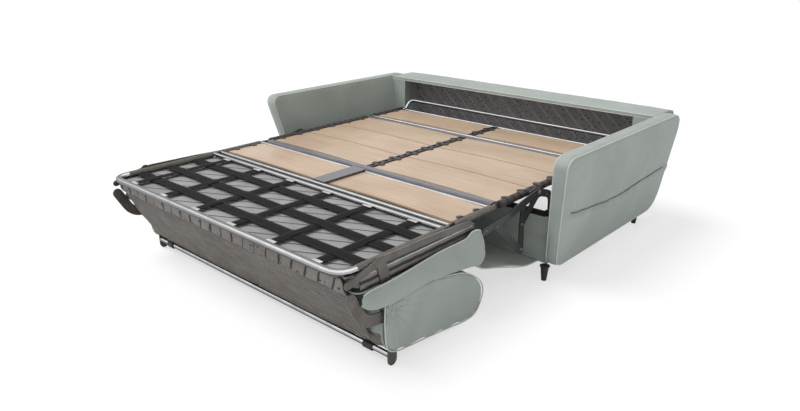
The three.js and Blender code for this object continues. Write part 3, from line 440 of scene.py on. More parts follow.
# Mesh helpers
def shade(mesh, crease):
    mesh.polygons.foreach_set("use_smooth", [True] * len(mesh.polygons))
    mesh.set_sharp_from_angle(angle=crease)


def mesh_of(name, points, faces):
    mesh = bpy.data.meshes.new(name)
    mesh.from_pydata([tuple(map(float, p)) for p in points], [], faces)
    mesh.update()
    mesh.polygons.foreach_set("use_smooth", [True] * len(mesh.polygons))
    return mesh


def add_object(name, data):
    thing = bpy.data.objects.new(name, data)
    bpy.context.scene.collection.objects.link(thing)
    return thing


def put(name, mesh, finish_name, body):
    """The mesh as a piece of the sofa, on its body when it has one; a piece without a body is left unattached."""
    piece = add_object(name, mesh)
    piece.data.materials.append(FINISHES[finish_name])
    if body:
        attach(piece, body)
    return piece


# Welts and hems get the lighter welt cloth, a painted highlight along their edges
def put_welt(name, mesh, body):
    return put(name, mesh, "welt", body)


def outward(mesh):
    edit = bmesh.new()
    edit.from_mesh(mesh)
    bmesh.ops.recalc_face_normals(edit, faces=edit.faces)
    edit.to_mesh(mesh)
    edit.free()
    return mesh


def faces_round(count, sides, ends_meet=False):
    """Quads from ring to ring of a sweep, and from the last ring to the first where its ends meet."""
    faces = []
    for r in range(count if ends_meet else count - 1):
        here, ahead = r * sides, (r + 1) % count * sides
        faces.extend((here + k, here + (k + 1) % sides, ahead + (k + 1) % sides, ahead + k) for k in range(sides))
    return faces


def lofted(name, rings):
    """Closed solid through the rings, with a fan of faces over each end."""
    rings = np.array(rings, float)
    count, sides, _ = rings.shape
    points = list(rings.reshape(-1, 3)) + [rings[0].mean(0), rings[-1].mean(0)]
    faces = faces_round(count, sides)
    first, last = count * sides, count * sides + 1
    base = (count - 1) * sides
    for k in range(sides):
        faces.append((first, (k + 1) % sides, k))
        faces.append((last, base + k, base + (k + 1) % sides))
    return outward(mesh_of(name, points, faces))


# A direction along which no tube of the sofa runs
SKEW = (0.31, 0.52, 0.79)


def tube_rings(points, radius, sides, closed=False):
    path = np.array(points, float)
    along = np.roll(path, -1, 0) - np.roll(path, 1, 0) if closed else np.gradient(path, axis=0)
    along /= np.linalg.norm(along, axis=1)[:, None]
    across = np.cross(along[0], SKEW)
    rings = []
    for point, way in zip(path, along):
        across = across - way * np.dot(across, way)
        across /= np.linalg.norm(across)
        other = np.cross(way, across)
        turns = [2 * math.pi * k / sides for k in range(sides)]
        rings.append([point + radius * (math.cos(a) * across + math.sin(a) * other) for a in turns])
    return rings


def tube(name, points, radius, sides):
    return lofted(name, tube_rings(points, radius, sides))


def closed_tube(line, radius, sides=7):
    rings = tube_rings(line, radius, sides, closed=True)
    return outward(mesh_of("welt", np.array(rings).reshape(-1, 3), faces_round(len(rings), sides, ends_meet=True)))


def circle(x, y, z, radius, count):
    turns = [2 * math.pi * k / count for k in range(count)]
    return [(x, y + radius * math.cos(a), z + radius * math.sin(a)) for a in turns]


def evenly(points, count):
    p = np.array(points, float)
    run = np.concatenate([[0], np.cumsum(np.linalg.norm(np.diff(p, axis=0), axis=1))])
    at = np.linspace(0, run[-1], count)
    return np.stack([np.interp(at, run, p[:, i]) for i in range(p.shape[1])], 1)


def spline(points, count, per_span=24):
    """Smooth curve through the points, with evenly spaced samples."""
    p = np.array(points, float)
    p = np.vstack([2 * p[0] - p[1], p, 2 * p[-1] - p[-2]])
    fine = []
    for i in range(1, len(p) - 2):
        a, b, c, d = p[i - 1 : i + 3]
        for t in np.linspace(0, 1, per_span, endpoint=i == len(p) - 3):
            bend = (2 * a - 5 * b + 4 * c - d) * t**2
            fine.append(0.5 * (2 * b + (c - a) * t + bend + (3 * b - a - 3 * c + d) * t**3))
    return evenly(fine, count)


def corner_arc(corners, i, radius, steps):
    """Rounded corner i of a closed outline, as a quadratic arc."""
    here = np.array(corners[i], float)
    before = np.array(corners[i - 1], float) - here
    after = np.array(corners[(i + 1) % len(corners)], float) - here
    enter = here + radius * before / np.linalg.norm(before)
    leave = here + radius * after / np.linalg.norm(after)
    t = np.linspace(0, 1, steps)[:, None]
    return (1 - t) ** 2 * enter + 2 * t * (1 - t) * here + t**2 * leave


def round_polygon(corners, steps=5):
    """Outline through (y, z, radius) corners, each one rounded."""
    places = [corner[:2] for corner in corners]
    return np.vstack([corner_arc(places, i, corner[2], steps) for i, corner in enumerate(corners)])


def subdivided(outline, longest):
    fine = []
    for a, b in zip(outline, np.roll(outline, -1, 0)):
        steps = max(1, int(np.linalg.norm(b - a) / longest))
        fine.extend(a + (b - a) * k / steps for k in range(steps))
    return np.array(fine)


def read_vertices(mesh, what):
    values = np.zeros(len(mesh.vertices) * 3, np.float32)
    mesh.vertices.foreach_get(what, values)
    return values.reshape(-1, 3).astype(float)


def points_of(mesh):
    return read_vertices(mesh, "co")


def normals_of(mesh):
    return read_vertices(mesh, "normal")


def move_points(mesh, points):
    mesh.vertices.foreach_set("co", np.asarray(points, np.float32).ravel())
    mesh.update()


def shown_mesh(holder):
    """The holder's mesh with its modifiers applied."""
    graph = bpy.context.evaluated_depsgraph_get()
    return bpy.data.meshes.new_from_object(holder.evaluated_get(graph))


def with_modifier(mesh, kind, **settings):
    holder = add_object("work", mesh)
    modifier = holder.modifiers.new("work", kind)
    for label, value in settings.items():
        setattr(modifier, label, value)
    made = shown_mesh(holder)
    bpy.data.objects.remove(holder)
    return made


def remeshed(mesh, size):
    return with_modifier(mesh, "REMESH", mode="VOXEL", voxel_size=size, use_smooth_shade=True)


def smoothed(mesh, turns):
    return with_modifier(mesh, "SMOOTH", factor=0.5, iterations=turns)


def finer(mesh):
    return with_modifier(mesh, "SUBSURF", levels=1, render_levels=1)


def rounded_edges(mesh, width, segments, **limits):
    return with_modifier(mesh, "BEVEL", width=width, segments=segments, **limits)


def hollow(mesh, tool):
    holder = add_object("tool", tool)
    made = with_modifier(mesh, "BOOLEAN", object=holder, operation="DIFFERENCE", solver="EXACT")
    bpy.data.objects.remove(holder)
    return made


def joined(name, parts, crease=math.radians(40)):
    edit = bmesh.new()
    for part in parts:
        edit.from_mesh(part)
    mesh = bpy.data.meshes.new(name)
    edit.to_mesh(mesh)
    edit.free()
    for part in parts:
        bpy.data.meshes.remove(part)
    shade(mesh, crease)
    return mesh


def box_mesh(x0, x1, y0, y1, z0, z1):
    points = [(x, y, z) for x in (x0, x1) for y in (y0, y1) for z in (z0, z1)]
    faces = [(0, 1, 3, 2), (4, 6, 7, 5), (0, 4, 5, 1), (2, 3, 7, 6), (0, 2, 6, 4), (1, 5, 7, 3)]
    return outward(mesh_of("box", points, faces))


CUSHION_CLOTH = {
    "quality": 5, "vertex_group_mass": "held", "use_pressure": True, "uniform_pressure_force": 4.0,
    "tension_stiffness": 20, "compression_stiffness": 12, "shear_stiffness": 8, "bending_stiffness": 0.6,
}


def puffed(mesh, pinned, most, steps=20):
    """The mesh blown up a little by a cloth simulation; pinned says how firmly each point is held."""
    start = points_of(mesh)
    holder = add_object("cloth_work", mesh)
    group = holder.vertex_groups.new(name=CUSHION_CLOTH["vertex_group_mass"])
    grades = 4
    for grade in range(1, grades + 1):
        level = grade / grades
        chosen = np.nonzero(np.abs(np.clip(pinned, 0, 1) - level) < 0.5 / grades)[0]
        if len(chosen):
            group.add([int(i) for i in chosen], level, "REPLACE")
    cloth = holder.modifiers.new("cloth", "CLOTH")
    for label, value in CUSHION_CLOTH.items():
        setattr(cloth.settings, label, value)
    cloth.settings.effector_weights.gravity = 0
    cloth.point_cache.frame_start = 1
    cloth.point_cache.frame_end = steps
    for number in range(1, steps + 1):
        bpy.context.scene.frame_set(number)
    blown = shown_mesh(holder)
    bpy.context.scene.frame_set(1)
    bpy.data.objects.remove(holder)
    shift = points_of(blown) - start
    far = np.linalg.norm(shift, axis=1)[:, None]
    move_points(blown, start + shift * np.minimum(1, most / np.maximum(far, 1e-9)))
    return blown


def bell(distance, width):
    """Share that fades smoothly from 1 as the distance grows."""
    return np.exp(-((distance / width) ** 2))


def ramp(value, start, length):
    """Share that rises from 0 at start to 1 a length further on."""
    return np.clip((value - start) / length, 0, 1)


dress_frame()


# Arms
ARM_SLANT = 0.130
ARM_ROUND_OVER = 0.017
ARM_SLAB = 0.057
ARM_FRONT_RADIUS = 0.068
ARM_REAR_RADIUS = 0.118
ARM_FACE_INSETS = (0.23, 0.19, 0.15, 0.115, 0.085, 0.06, 0.04, 0.028, 0.020)
ARM_EDGE_INSETS = (0.0165, 0.012, 0.0075, 0.0035, 0.001, 0.0)
ARM_VOXEL = 0.0085
ARM_WELT_INSET = 0.006
ARM_SEAM = [(0.02, 0.352), (0.082, 0.338), (0.223, 0.325), (0.375, 0.312), (0.535, 0.306),
            (0.695, 0.316), (0.865, 0.328), (1.03, 0.330)]


def arm_outline(low, high, inset, front_radius, rear_radius, per_corner=8, per_side=14):
    """Closed outline in y and z of an arm, inset from its box; its front edge leans forward as it rises."""
    front, rear = low.y + inset, high.y - inset
    bottom, top = low.z + inset, high.z - inset
    corners = [(front + ARM_SLANT, bottom), (rear, bottom), (rear, top), (front, top)]
    radii = (front_radius, rear_radius, rear_radius, front_radius)
    arcs = [corner_arc(corners, i, radius, per_corner) for i, radius in enumerate(radii)]
    outline = []
    for arc, following in zip(arcs, arcs[1:] + arcs[:1]):
        outline.extend(arc)
        a, b = arc[-1], following[0]
        outline.extend(a + (b - a) * s for s in np.linspace(0, 1, per_side + 2)[1:-1])
    return np.array(outline)


def arm_faces(name):
    """Place of an arm's inner and outer face, as x for each height."""
    low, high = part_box("arm_" + name)
    co = points_of(nodes["arm_" + name].data)
    co[:, 0] = abs(co[:, 0])
    margin, slice_half = 0.09, 0.04
    levels = (low.z + margin, high.z - margin)
    slices = [co[abs(co[:, 2] - level) < slice_half, 0] for level in levels]
    found = [(near.min(), near.max()) for near in slices]
    slope = [(found[1][i] - found[0][i]) / (levels[1] - levels[0]) for i in (0, 1)]
    return [lambda z, i=i: found[0][i] + slope[i] * (z - levels[0]) for i in (0, 1)]


def arm_blank(low, high, side, inner, outer):
    """Padded slab between the arm's two faces, with crowned faces and round edges."""
    rings = []
    def ring(inset, depth):
        outline = arm_outline(
            low, high, inset, max(ARM_FRONT_RADIUS - inset, 0.02), max(ARM_REAR_RADIUS - inset, 0.03))
        crown = 0.006 * (1 - math.exp(-max(inset - 0.01, 0) / 0.06))
        placed = []
        for y, z in outline:
            a, b = inner(z), outer(z)
            placed.append((side * (a + (b - a) * depth + (crown if depth > 0.5 else -crown)), y, z))
        rings.append(placed)
    def across(inset):
        over = ARM_ROUND_OVER
        return (over - math.sqrt(max(over**2 - (over - inset) ** 2, 0))) / ARM_SLAB
    for inset in ARM_FACE_INSETS:
        ring(inset, 0.0)
    for inset in ARM_EDGE_INSETS:
        ring(inset, across(inset))
    for inset in reversed(ARM_EDGE_INSETS):
        ring(inset, 1 - across(inset))
    for inset in reversed(ARM_FACE_INSETS):
        ring(inset, 1.0)
    return lofted("arm", rings)


def seam_relief(co, seam):
    """Height of the padding beside the curved seam: a groove, a fuller lower edge and gathers."""
    y = co[:, 1]
    gap = np.min(np.linalg.norm(co[:, None, 1:] - seam[None], axis=2), axis=1)
    wave = 1 + 0.4 * np.sin(y * 40) * np.sin(y * 17 + 1)
    below = np.interp(y, seam[:, 0], seam[:, 1]) - co[:, 2]
    puff = 0.0065 * bell(gap - 0.026, 0.020) * wave * np.where(below > 0, 1.2, 0.4)
    pucker = 0.0016 * np.sin(y * 62 + 3 * np.sin(y * 11)) * bell(gap, 0.05)
    return puff + pucker - 0.0060 * bell(gap, 0.013)


def add_arm(name, side):
    low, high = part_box("arm_" + name)
    inner, outer = arm_faces(name)
    def middle(co):
        return np.array([(inner(z) + outer(z)) / 2 for z in co[:, 2]])
    mesh = smoothed(remeshed(arm_blank(low, high, side, inner, outer), ARM_VOXEL), 2)
    co, normal = points_of(mesh), normals_of(mesh)
    seam = spline(ARM_SEAM, 60)
    on_outer = ramp(abs(co[:, 0]) - middle(co), 0, 0.012)
    drift = 0.0016 * np.sin(co[:, 1] * 13 + co[:, 2] * 9) * np.sin(co[:, 2] * 17 + 2)
    move_points(mesh, co + normal * (seam_relief(co, seam) * on_outer + drift)[:, None])
    cover = put("arm_cover_" + name, mesh, "upholstery", "sofa")
    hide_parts("arm_" + name)
    outline = arm_outline(
        low, high, ARM_WELT_INSET, ARM_FRONT_RADIUS - ARM_WELT_INSET, ARM_REAR_RADIUS - ARM_WELT_INSET)
    for label, face_of, sunk in (("inner", inner, -0.0045), ("outer", outer, 0.0045)):
        line = [(side * (face_of(z) - sunk), y, z) for y, z in outline]
        line = evenly(line + line[:1], 220)[:-1]
        put_welt("arm_welt_" + label + "_" + name, closed_tube(line, 0.0032), "sofa")
    co = points_of(mesh)
    co = co[abs(co[:, 0]) > middle(co)]
    # Painted shade: a thin dark tube laid just over the seam, for the shade in its groove
    groove_shade_line = []
    for y, z in seam[1:-1]:
        near = np.argsort(np.linalg.norm(co[:, 1:] - (y, z), axis=1))[:6]
        groove_shade_line.append((side * (abs(co[near, 0]).mean() + 0.0012), y, z))
    put("arm_seam_" + name, tube("seam", groove_shade_line, 0.0024, 7), "seam_groove_shade", "sofa")


# Back: the padded shell with its rolled lip, and the posts beside the recess
def slanted(points, share, gap=0.0008):
    """Points of a cross-section, in y and z, set across the sofa between the leaning arms."""
    inner = arm_faces("right")[0]
    return [(share * (inner(z) - gap), y, z) for y, z in points]


BACK_BOARD = 0.020
BACK_LIP = 0.017
BACK_WELT = 0.0028


def add_back():
    low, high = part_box("back_shell")
    outline = round_polygon([
        (high.y - BACK_BOARD, low.z, 0.004), (high.y, low.z, 0.008), (high.y, high.z, 0.058),
        (low.y, high.z, 0.0075), (low.y, high.z - BACK_LIP, 0.0075), (high.y - BACK_BOARD, high.z - BACK_LIP, 0.004),
    ])
    section = subdivided(outline, 0.03)
    middle = (low.y + high.y) / 2
    rings = []
    for share in np.linspace(-1, 1, 90):
        ease = 1 - abs(share) ** 12
        rows = []
        for y, z in section:
            top = ramp(z, high.z - 0.012, 0.012) * ramp(-y, 0.03 - high.y, 0.03)
            crown = 0.006 * ease * top * (1 - ((y - middle) / (middle - low.y)) ** 4 * 0.8)
            ripple = 0.0009 * math.sin(share * 41) * math.sin(share * 17 + y * 20) * top
            rows.append((y, z + crown + ripple))
        rings.append(slanted(rows, share))
    cover = put("back_cover", lofted("back_cover", rings), "upholstery", "sofa")
    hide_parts("back_shell")
    for label, z in (("top", high.z - 0.001), ("low", high.z - BACK_LIP + 0.001)):
        line = [slanted([(low.y + 0.002, z)], share)[0] for share in np.linspace(-0.998, 0.998, 80)]
        put_welt("back_welt_" + label, tube("welt", line, BACK_WELT, 7), "sofa")


def add_posts():
    """Padded posts that narrow towards the lining, so that it runs on behind them."""
    start, wall = 0.010, 0.022
    for name, side in SIDES:
        node = "back_post_" + name
        low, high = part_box(node)
        mesh = rounded_edges(nodes[node].data, 0.005, 3, limit_method="ANGLE", angle_limit=math.radians(40))
        co = points_of(mesh)
        arm_inner = arm_faces(name)[0]
        facing_recess = abs(co[:, 0]) < (abs(low.x) + abs(high.x)) / 2
        back = ramp(co[:, 1], low.y + start, high.y - low.y - start)
        reach = np.array([arm_inner(z) for z in co[:, 2]]) - wall - abs(co[:, 0])
        co[:, 0] += side * reach * back * facing_recess
        move_points(mesh, co)
        cover = put("back_post_cover_" + name, mesh, "upholstery", "sofa")
        shade(mesh, math.radians(50))
        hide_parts(node)


def add_front_panel():
    low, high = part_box("front_panel")
    edge_radius = 0.009
    corners = [(low.y, low.z), (high.y, low.z), (high.y, high.z), (low.y, high.z)]
    section = subdivided(round_polygon([(*corner, edge_radius) for corner in corners]), 0.012)
    rings = []
    for share in np.linspace(-1, 1, 120):
        rows = []
        for y, z in section:
            height = (z - low.z) / (high.z - low.z)
            front = 1 if y < (low.y + high.y) / 2 else 0
            fold = 0.004 * math.sin(height * 15 + 1.1 * math.sin(share * 3)) * math.sin(height * math.pi) ** 0.6
            crown = -0.004 * math.sin(max(height, 0) * math.pi)
            rows.append((y + front * (fold * (0.6 + 0.4 * abs(share)) + crown), z))
        rings.append(slanted(rows, share))
    cover = put("front_panel_cover", lofted("front_panel_cover", rings), "upholstery", "sofa")
    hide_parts("front_panel")


for arm_name, arm_side in SIDES:
    add_arm(arm_name, arm_side)
add_back()
add_posts()
add_front_panel()

# Cushions
CUSHION_VOXEL = 0.013


def section_rings(section, count, half, shape):
    """Rings of an outline in y and z along x, closer together towards the ends."""
    t = np.linspace(-1, 1, count)
    stations = np.sign(t) * (1 - (1 - abs(t)) ** 1.5)
    return [[shape(share, share * half, y, z) for y, z in section] for share in stations]


# Seat cushion, upside down under the seat frame
def add_seat_cushion():
    low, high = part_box("seat_cushion")
    half = high.x
    top = high.z - 0.0006
    drop, bottom = 0.012, low.z + 0.014
    outline = round_polygon([
        (low.y + 0.004, top, 0.010), (low.y, bottom, 0.030), (high.y - 0.004, bottom, 0.030), (high.y, top, 0.010),
    ], 6)
    section = subdivided(outline, 0.02)
    middle = (low.y + high.y) / 2
    reach = (high.y - low.y) / 2
    def shape(share, x, y, z):
        deep = ramp(-z, -top, top - low.z)
        across, along = abs(share), min(abs(y - middle) / reach, 1)
        crown = drop * (1 - across**6) * (1 - along**6) * deep
        corner = across**10 * along**10
        pull = 1 - 0.035 * corner * deep
        return (x * (1 - 0.012 * across**8 * deep) * pull, middle + (y - middle) * pull, z - crown * 0.8)
    mesh = remeshed(lofted("seat", section_rings(section, 60, half, shape)), CUSHION_VOXEL)
    held = ramp(points_of(mesh)[:, 2], top - 0.012, 0.008)
    mesh = puffed(mesh, held, 0.010)
    mesh = finer(mesh)
    co, normal = points_of(mesh), normals_of(mesh)
    side = ramp(abs(co[:, 0]), half - 0.05, 0.04)
    end = ramp(abs(co[:, 1] - middle), reach - 0.10, 0.08)
    depth = ramp(-co[:, 2], -top, top - low.z)
    gather = 0.0022 * np.sin(co[:, 1] * 110 + co[:, 2] * 60) * side * end * depth
    slack = 0.0016 * np.sin(co[:, 1] * 19 + 1) * np.sin(co[:, 2] * 45 + co[:, 1] * 8) * side
    co = co + normal * (gather + slack)[:, None]
    co[:, 2] = np.minimum(co[:, 2], top)
    move_points(mesh, co)
    cover = put("seat_cushion_cover", mesh, "upholstery", "seat")
    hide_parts("seat_cushion")
    turn = 0.035
    for label, level, inset in (("top", top - 0.006, 0.000), ("low", low.z + 0.016, 0.006)):
        x, y0, y1 = half - inset + 0.001, low.y + inset, high.y - inset
        loop = round_polygon([(-x, y0, turn), (x, y0, turn), (x, y1, turn), (-x, y1, turn)], 8)
        line = evenly([(a, b, level) for a, b in list(loop) + [loop[0]]], 260)[:-1]
        put_welt("seat_welt_" + label, closed_tube(line, 0.0030), "seat")


# Backrest cushion, folded under the seat and standing on the floor side
BACKREST_OUTLINE = [
    (-0.006, 0.255), (-0.008, 0.160), (0.004, 0.085), (0.048, 0.054), (0.125, 0.042), (0.240, 0.030),
    (0.360, 0.015), (0.480, 0.001), (0.545, 0.014), (0.583, 0.070), (0.585, 0.112), (0.556, 0.158),
    (0.470, 0.216), (0.375, 0.246), (0.285, 0.263), (0.172, 0.280), (0.070, 0.288), (0.018, 0.280),
]
BACKREST_WELT = 0.0028


def backrest_section(count):
    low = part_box("backrest_cushion")[0]
    points = [(low.y + a, low.z + b) for a, b in BACKREST_OUTLINE]
    curve = spline(points[-3:] + points + points[:3], 600)
    away = np.linalg.norm(curve - np.array(points[0]), axis=1)
    start, end = np.argmin(away[:300]), 300 + np.argmin(away[300:])
    return evenly(curve[start : end + 1], count + 1)[:-1]


def leg_slots():
    """Room in the ends of the backrest for the legs and the hinge plates, as boxes."""
    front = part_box("backrest_cushion")[0].y
    slots = []
    for name, side in SIDES:
        faces = sorted(abs(corner.x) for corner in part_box("foot_leg_" + name))
        outer = faces[1] + 0.006
        for room, depth, bottom, top in ((0.0005, 0.077, -0.05, 0.20), (0.0145, 0.088, 0.190, 0.34)):
            x0, x1 = sorted((side * (faces[0] - room), side * outer))
            slots.append(box_mesh(x0, x1, front - 0.03, front + depth, bottom, top))
    return slots


def add_backrest():
    low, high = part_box("backrest_cushion")
    half = high.x - 0.006
    middle = np.array(((low.y + high.y) / 2, (low.z + high.z) / 2))
    def shape(share, x, y, z):
        draw = 0.985 - 0.030 * abs(share) ** 24
        return (x, *(middle + (np.array((y, z)) - middle) * draw))
    mesh = remeshed(lofted("backrest", section_rings(backrest_section(90), 64, half, shape)), CUSHION_VOXEL)
    co = points_of(mesh)
    on_floor = np.where(co[:, 2] < low.z + 0.02, 1.0, 0.0)
    at_ends = ramp(abs(co[:, 0]), half - 0.016, 0.012)
    mesh = puffed(mesh, np.maximum(on_floor, at_ends * 0.75), 0.012)
    mesh = finer(mesh)
    co, normal = points_of(mesh), normals_of(mesh)
    corner = np.array((low.y + 0.03, high.z - 0.03))
    away = np.linalg.norm(co[:, 1:] - corner, axis=1)
    turn = np.arctan2(co[:, 2] - corner[1], co[:, 1] - corner[0])
    near_end = ramp(abs(co[:, 0]), half - 0.22, 0.2)
    on_face = ramp(abs(co[:, 0]), half - 0.02, 0.02)
    pleats = 0.0050 * np.sin(turn * 26 + 2 * np.sin(turn * 5)) * bell(away, 0.12) * on_face
    folds = 0.0035 * np.sin(co[:, 0] * 95 + co[:, 1] * 30) * near_end * bell(co[:, 1] - low.y, 0.06)
    slack = 0.0020 * np.sin(co[:, 1] * 21 + co[:, 2] * 12) * np.sin(co[:, 2] * 30 + co[:, 0] * 6)
    co = co + normal * (pleats * (1 - 0.6 * near_end * (1 - on_face)) + folds + slack)[:, None]
    co[:, 2] = np.clip(co[:, 2], 0.004, high.z + 0.024)
    move_points(mesh, co)
    for slot in leg_slots():
        mesh = hollow(mesh, slot)
    shade(mesh, math.radians(60))
    cover = put("backrest_cover", mesh, "upholstery", "backrest")
    # Painted shade under the foot edge of the backrest
    shade_under_foot(cover, low, half)
    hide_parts("backrest_cushion")
    for name, side in SIDES:
        line = middle + (backrest_section(160) - middle) * 0.968
        line = np.array([(side * (half - 0.004), y, max(z, 0.007)) for y, z in line])
        line = evenly(np.vstack([line, line[:1]]), 170)[:-1]
        put_welt("backrest_welt_" + name, closed_tube(line, BACKREST_WELT), "backrest")


def shade_under_foot(cover, low, half):
    """Painted shade: the dark twill of the foot lining is given to the backrest's faces under its foot edge, for the
    shade that falls there.
    """
    cover.data.materials.append(FINISHES["foot_twill"])
    top, depth, border = 0.135, 0.075, 0.028
    for face in cover.data.polygons:
        x, y, z = face.center
        face.material_index = int(z < top and y < low.y + depth and abs(x) < half - border)


# Loose cloth
def sheet_mesh(name, columns, rows, place, thick):
    """Thin closed cloth over a grid; place gives a point for shares across and down."""
    points = [place(u, v) for v in np.linspace(0, 1, rows + 1) for u in np.linspace(0, 1, columns + 1)]
    wide = columns + 1
    starts = [r * wide + c for r in range(rows) for c in range(columns)]
    faces = [(at, at + 1, at + wide + 1, at + wide) for at in starts]
    return with_modifier(mesh_of(name, points, faces), "SOLIDIFY", thickness=thick, offset=0.0)


# Course of the apron from the foot of the panel to the seat, as shares of its reach and its rise
APRON_COURSE = [(0.0, 0.0), (0.12, 0.02), (0.25, 0.11), (0.5, 0.35), (0.7, 0.54), (0.76, 0.75), (0.77, 1.0)]


def add_apron():
    low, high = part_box("apron_cloth")
    reach = (high.y - low.y) / APRON_COURSE[-1][0]
    start_z, rise = low.z + 0.002, high.z - low.z - 0.004
    course = spline([(high.y - a * reach * 0.995, start_z + b * rise) for a, b in APRON_COURSE], 120)
    half = high.x
    run = np.concatenate([[0], np.cumsum(np.linalg.norm(np.diff(course, axis=0), axis=1))])
    def place(u, v):
        at = v * run[-1]
        y, z = np.interp(at, run, course[:, 0]), np.interp(at, run, course[:, 1])
        share = 2 * u - 1
        middle = math.sin(v * math.pi)
        fold = 0.010 * math.sin(share * 10.5 + 1.6 * math.sin(share * 4)) * middle
        crease = 0.004 * math.sin(share * 31 + v * 6) * middle * (0.4 + abs(share))
        hang = -0.012 * (1 - share**2) * middle
        return (share * half * (1 - 0.006 * middle), y, z + fold + crease + hang)
    cover = put("apron_sheet", sheet_mesh("apron", 150, 44, place, 0.0025), "upholstery", "sofa")
    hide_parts("apron_cloth")
    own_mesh(cover)
    for name, side in SIDES:
        line = evenly([(side * (half - 0.003), y, z) for y, z in course[2:-2]], 50)
        hem = put_welt("apron_hem_" + name, tube("hem", line, 0.0028, 6), "sofa")
        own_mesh(hem)


def add_foot_lining():
    """Dark cloth from the foot tube down to the backrest, under a gathered quilted strip."""
    low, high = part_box("foot_lining")
    course = spline([(low.y + 0.006, high.z - 0.012), (-1.090, 0.330), (-1.052, 0.250), (-1.012, 0.180),
                     (-0.989, 0.135), (-0.984, 0.112)], 90)
    def face_y(z):
        return float(np.interp(-z, -course[:, 1], course[:, 0]))
    def face(u, v):
        share = 2 * u - 1
        y, z = course[int(round(v * (len(course) - 1)))]
        slack = math.sin(v * math.pi)
        sag = -0.006 * slack * (1 - share**2)
        crease = 0.0022 * math.sin(share * 17 + v * 5) * math.sin(v * 9 + share * 4) * slack
        return (share * high.x, y + sag + crease, z)
    def strip(u, v):
        share = 2 * u - 1
        fall = 0.050 + 0.020 * u + 0.003 * math.sin(u * 60)
        z = high.z - 0.002 - v * fall
        ruck = 0.0035 * math.sin(u * 240 + v * 7 + 2 * math.sin(u * 37)) * math.sin(v * math.pi) ** 0.5
        return (share * (high.x + 0.006), face_y(z) - 0.0095 + 0.003 * v + ruck, z)
    cover = put("foot_lining_sheet", sheet_mesh("foot_lining", 150, 34, face, 0.002), "foot_twill", None)
    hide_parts("foot_lining")
    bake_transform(cover)
    edge = put("foot_lining_strip", sheet_mesh("strip", 260, 8, strip, 0.0016), "foot_quilt", "seat")


# Side of the seat cover: it hangs outside the leg plates, with an ear at its knee end
SIDE_TOP = [(-1.108, 0.318), (-1.085, 0.338), (-1.000, 0.341), (-0.922, 0.344), (-0.817, 0.352), (-0.705, 0.360),
            (-0.600, 0.360), (-0.545, 0.362), (-0.511, 0.378), (-0.470, 0.374), (-0.440, 0.355)]
SIDE_LOW = [(-1.110, 0.300), (-1.085, 0.282), (-1.047, 0.268), (-0.998, 0.262), (-0.922, 0.262), (-0.816, 0.268),
            (-0.702, 0.264), (-0.611, 0.252), (-0.515, 0.236), (-0.460, 0.226), (-0.420, 0.262)]
SIDE_COLUMNS = 120
CLEAR_OF_LEGS = 0.7835


def add_seat_side(name, side):
    tops, lows = spline(SIDE_TOP, SIDE_COLUMNS + 1), spline(SIDE_LOW, SIDE_COLUMNS + 1)
    def place(u, v):
        i = int(round(u * SIDE_COLUMNS))
        y, z = tops[i] + (lows[i] - tops[i]) * v
        ends = min(1.0, min(u / 0.05, (1 - u) / 0.05)) ** 0.6
        ear = max(0.0, (u - 0.8) / 0.2)
        bulge = 0.010 * math.sin(v * math.pi) ** 0.7 + 0.016 * v
        pleat = 0.0030 * math.sin(u * 150 + v * 5) * bell(u, 0.10) * v
        fold = 0.0035 * math.sin(u * 30 + v * 7) * ear * (1 - v) + 0.0015 * math.sin(u * 17 + v * 3)
        x = 0.787 + (bulge - 0.008) * ends + pleat + fold
        return (side * max(x, CLEAR_OF_LEGS), y + FRAME_SHIFT, z)
    mesh = finer(sheet_mesh("seat_side", SIDE_COLUMNS, 16, place, 0.005))
    cover = put("seat_side_" + name, mesh, "upholstery", "seat")
    line = evenly([(side * 0.7865, y + FRAME_SHIFT, z + 0.002) for y, z in tops[3:-3]], 90)
    hem = put_welt("seat_side_hem_" + name, tube("hem", line, 0.0030, 7), "seat")
    for cloth in (cover, hem):
        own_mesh(cloth)


def add_seat_side_lining(name, side):
    low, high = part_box("seat_cushion")
    start, length, fall = low.y + 0.012, high.y - low.y - 0.024, 0.050
    def place(u, v):
        x = high.x + 0.0015 + 0.0008 * math.sin(u * 60)
        return (side * x, start + length * u, high.z - 0.002 - fall * v)
    strip = sheet_mesh("side_lining", 80, 4, place, 0.0015)
    wall = put("seat_side_lining_" + name, strip, "foot_quilt", "seat")


add_seat_cushion()
add_backrest()
add_apron()
add_foot_lining()
for seat_name, seat_side in SIDES:
    add_seat_side(seat_name, seat_side)
    add_seat_side_lining(seat_name, seat_side)

# Webbing: bands across and along the seat frame, each passing over and under the others
CROSS_BANDS = 3
LONG_BANDS = 6
CROSS_BAND_WIDTH = 0.050
LONG_BAND_WIDTH = 0.040


def along_places(low, high):
    """Middle of each long band across the frame."""
    return [low.x + (high.x - low.x) * (i + 0.5) / LONG_BANDS for i in range(LONG_BANDS)]


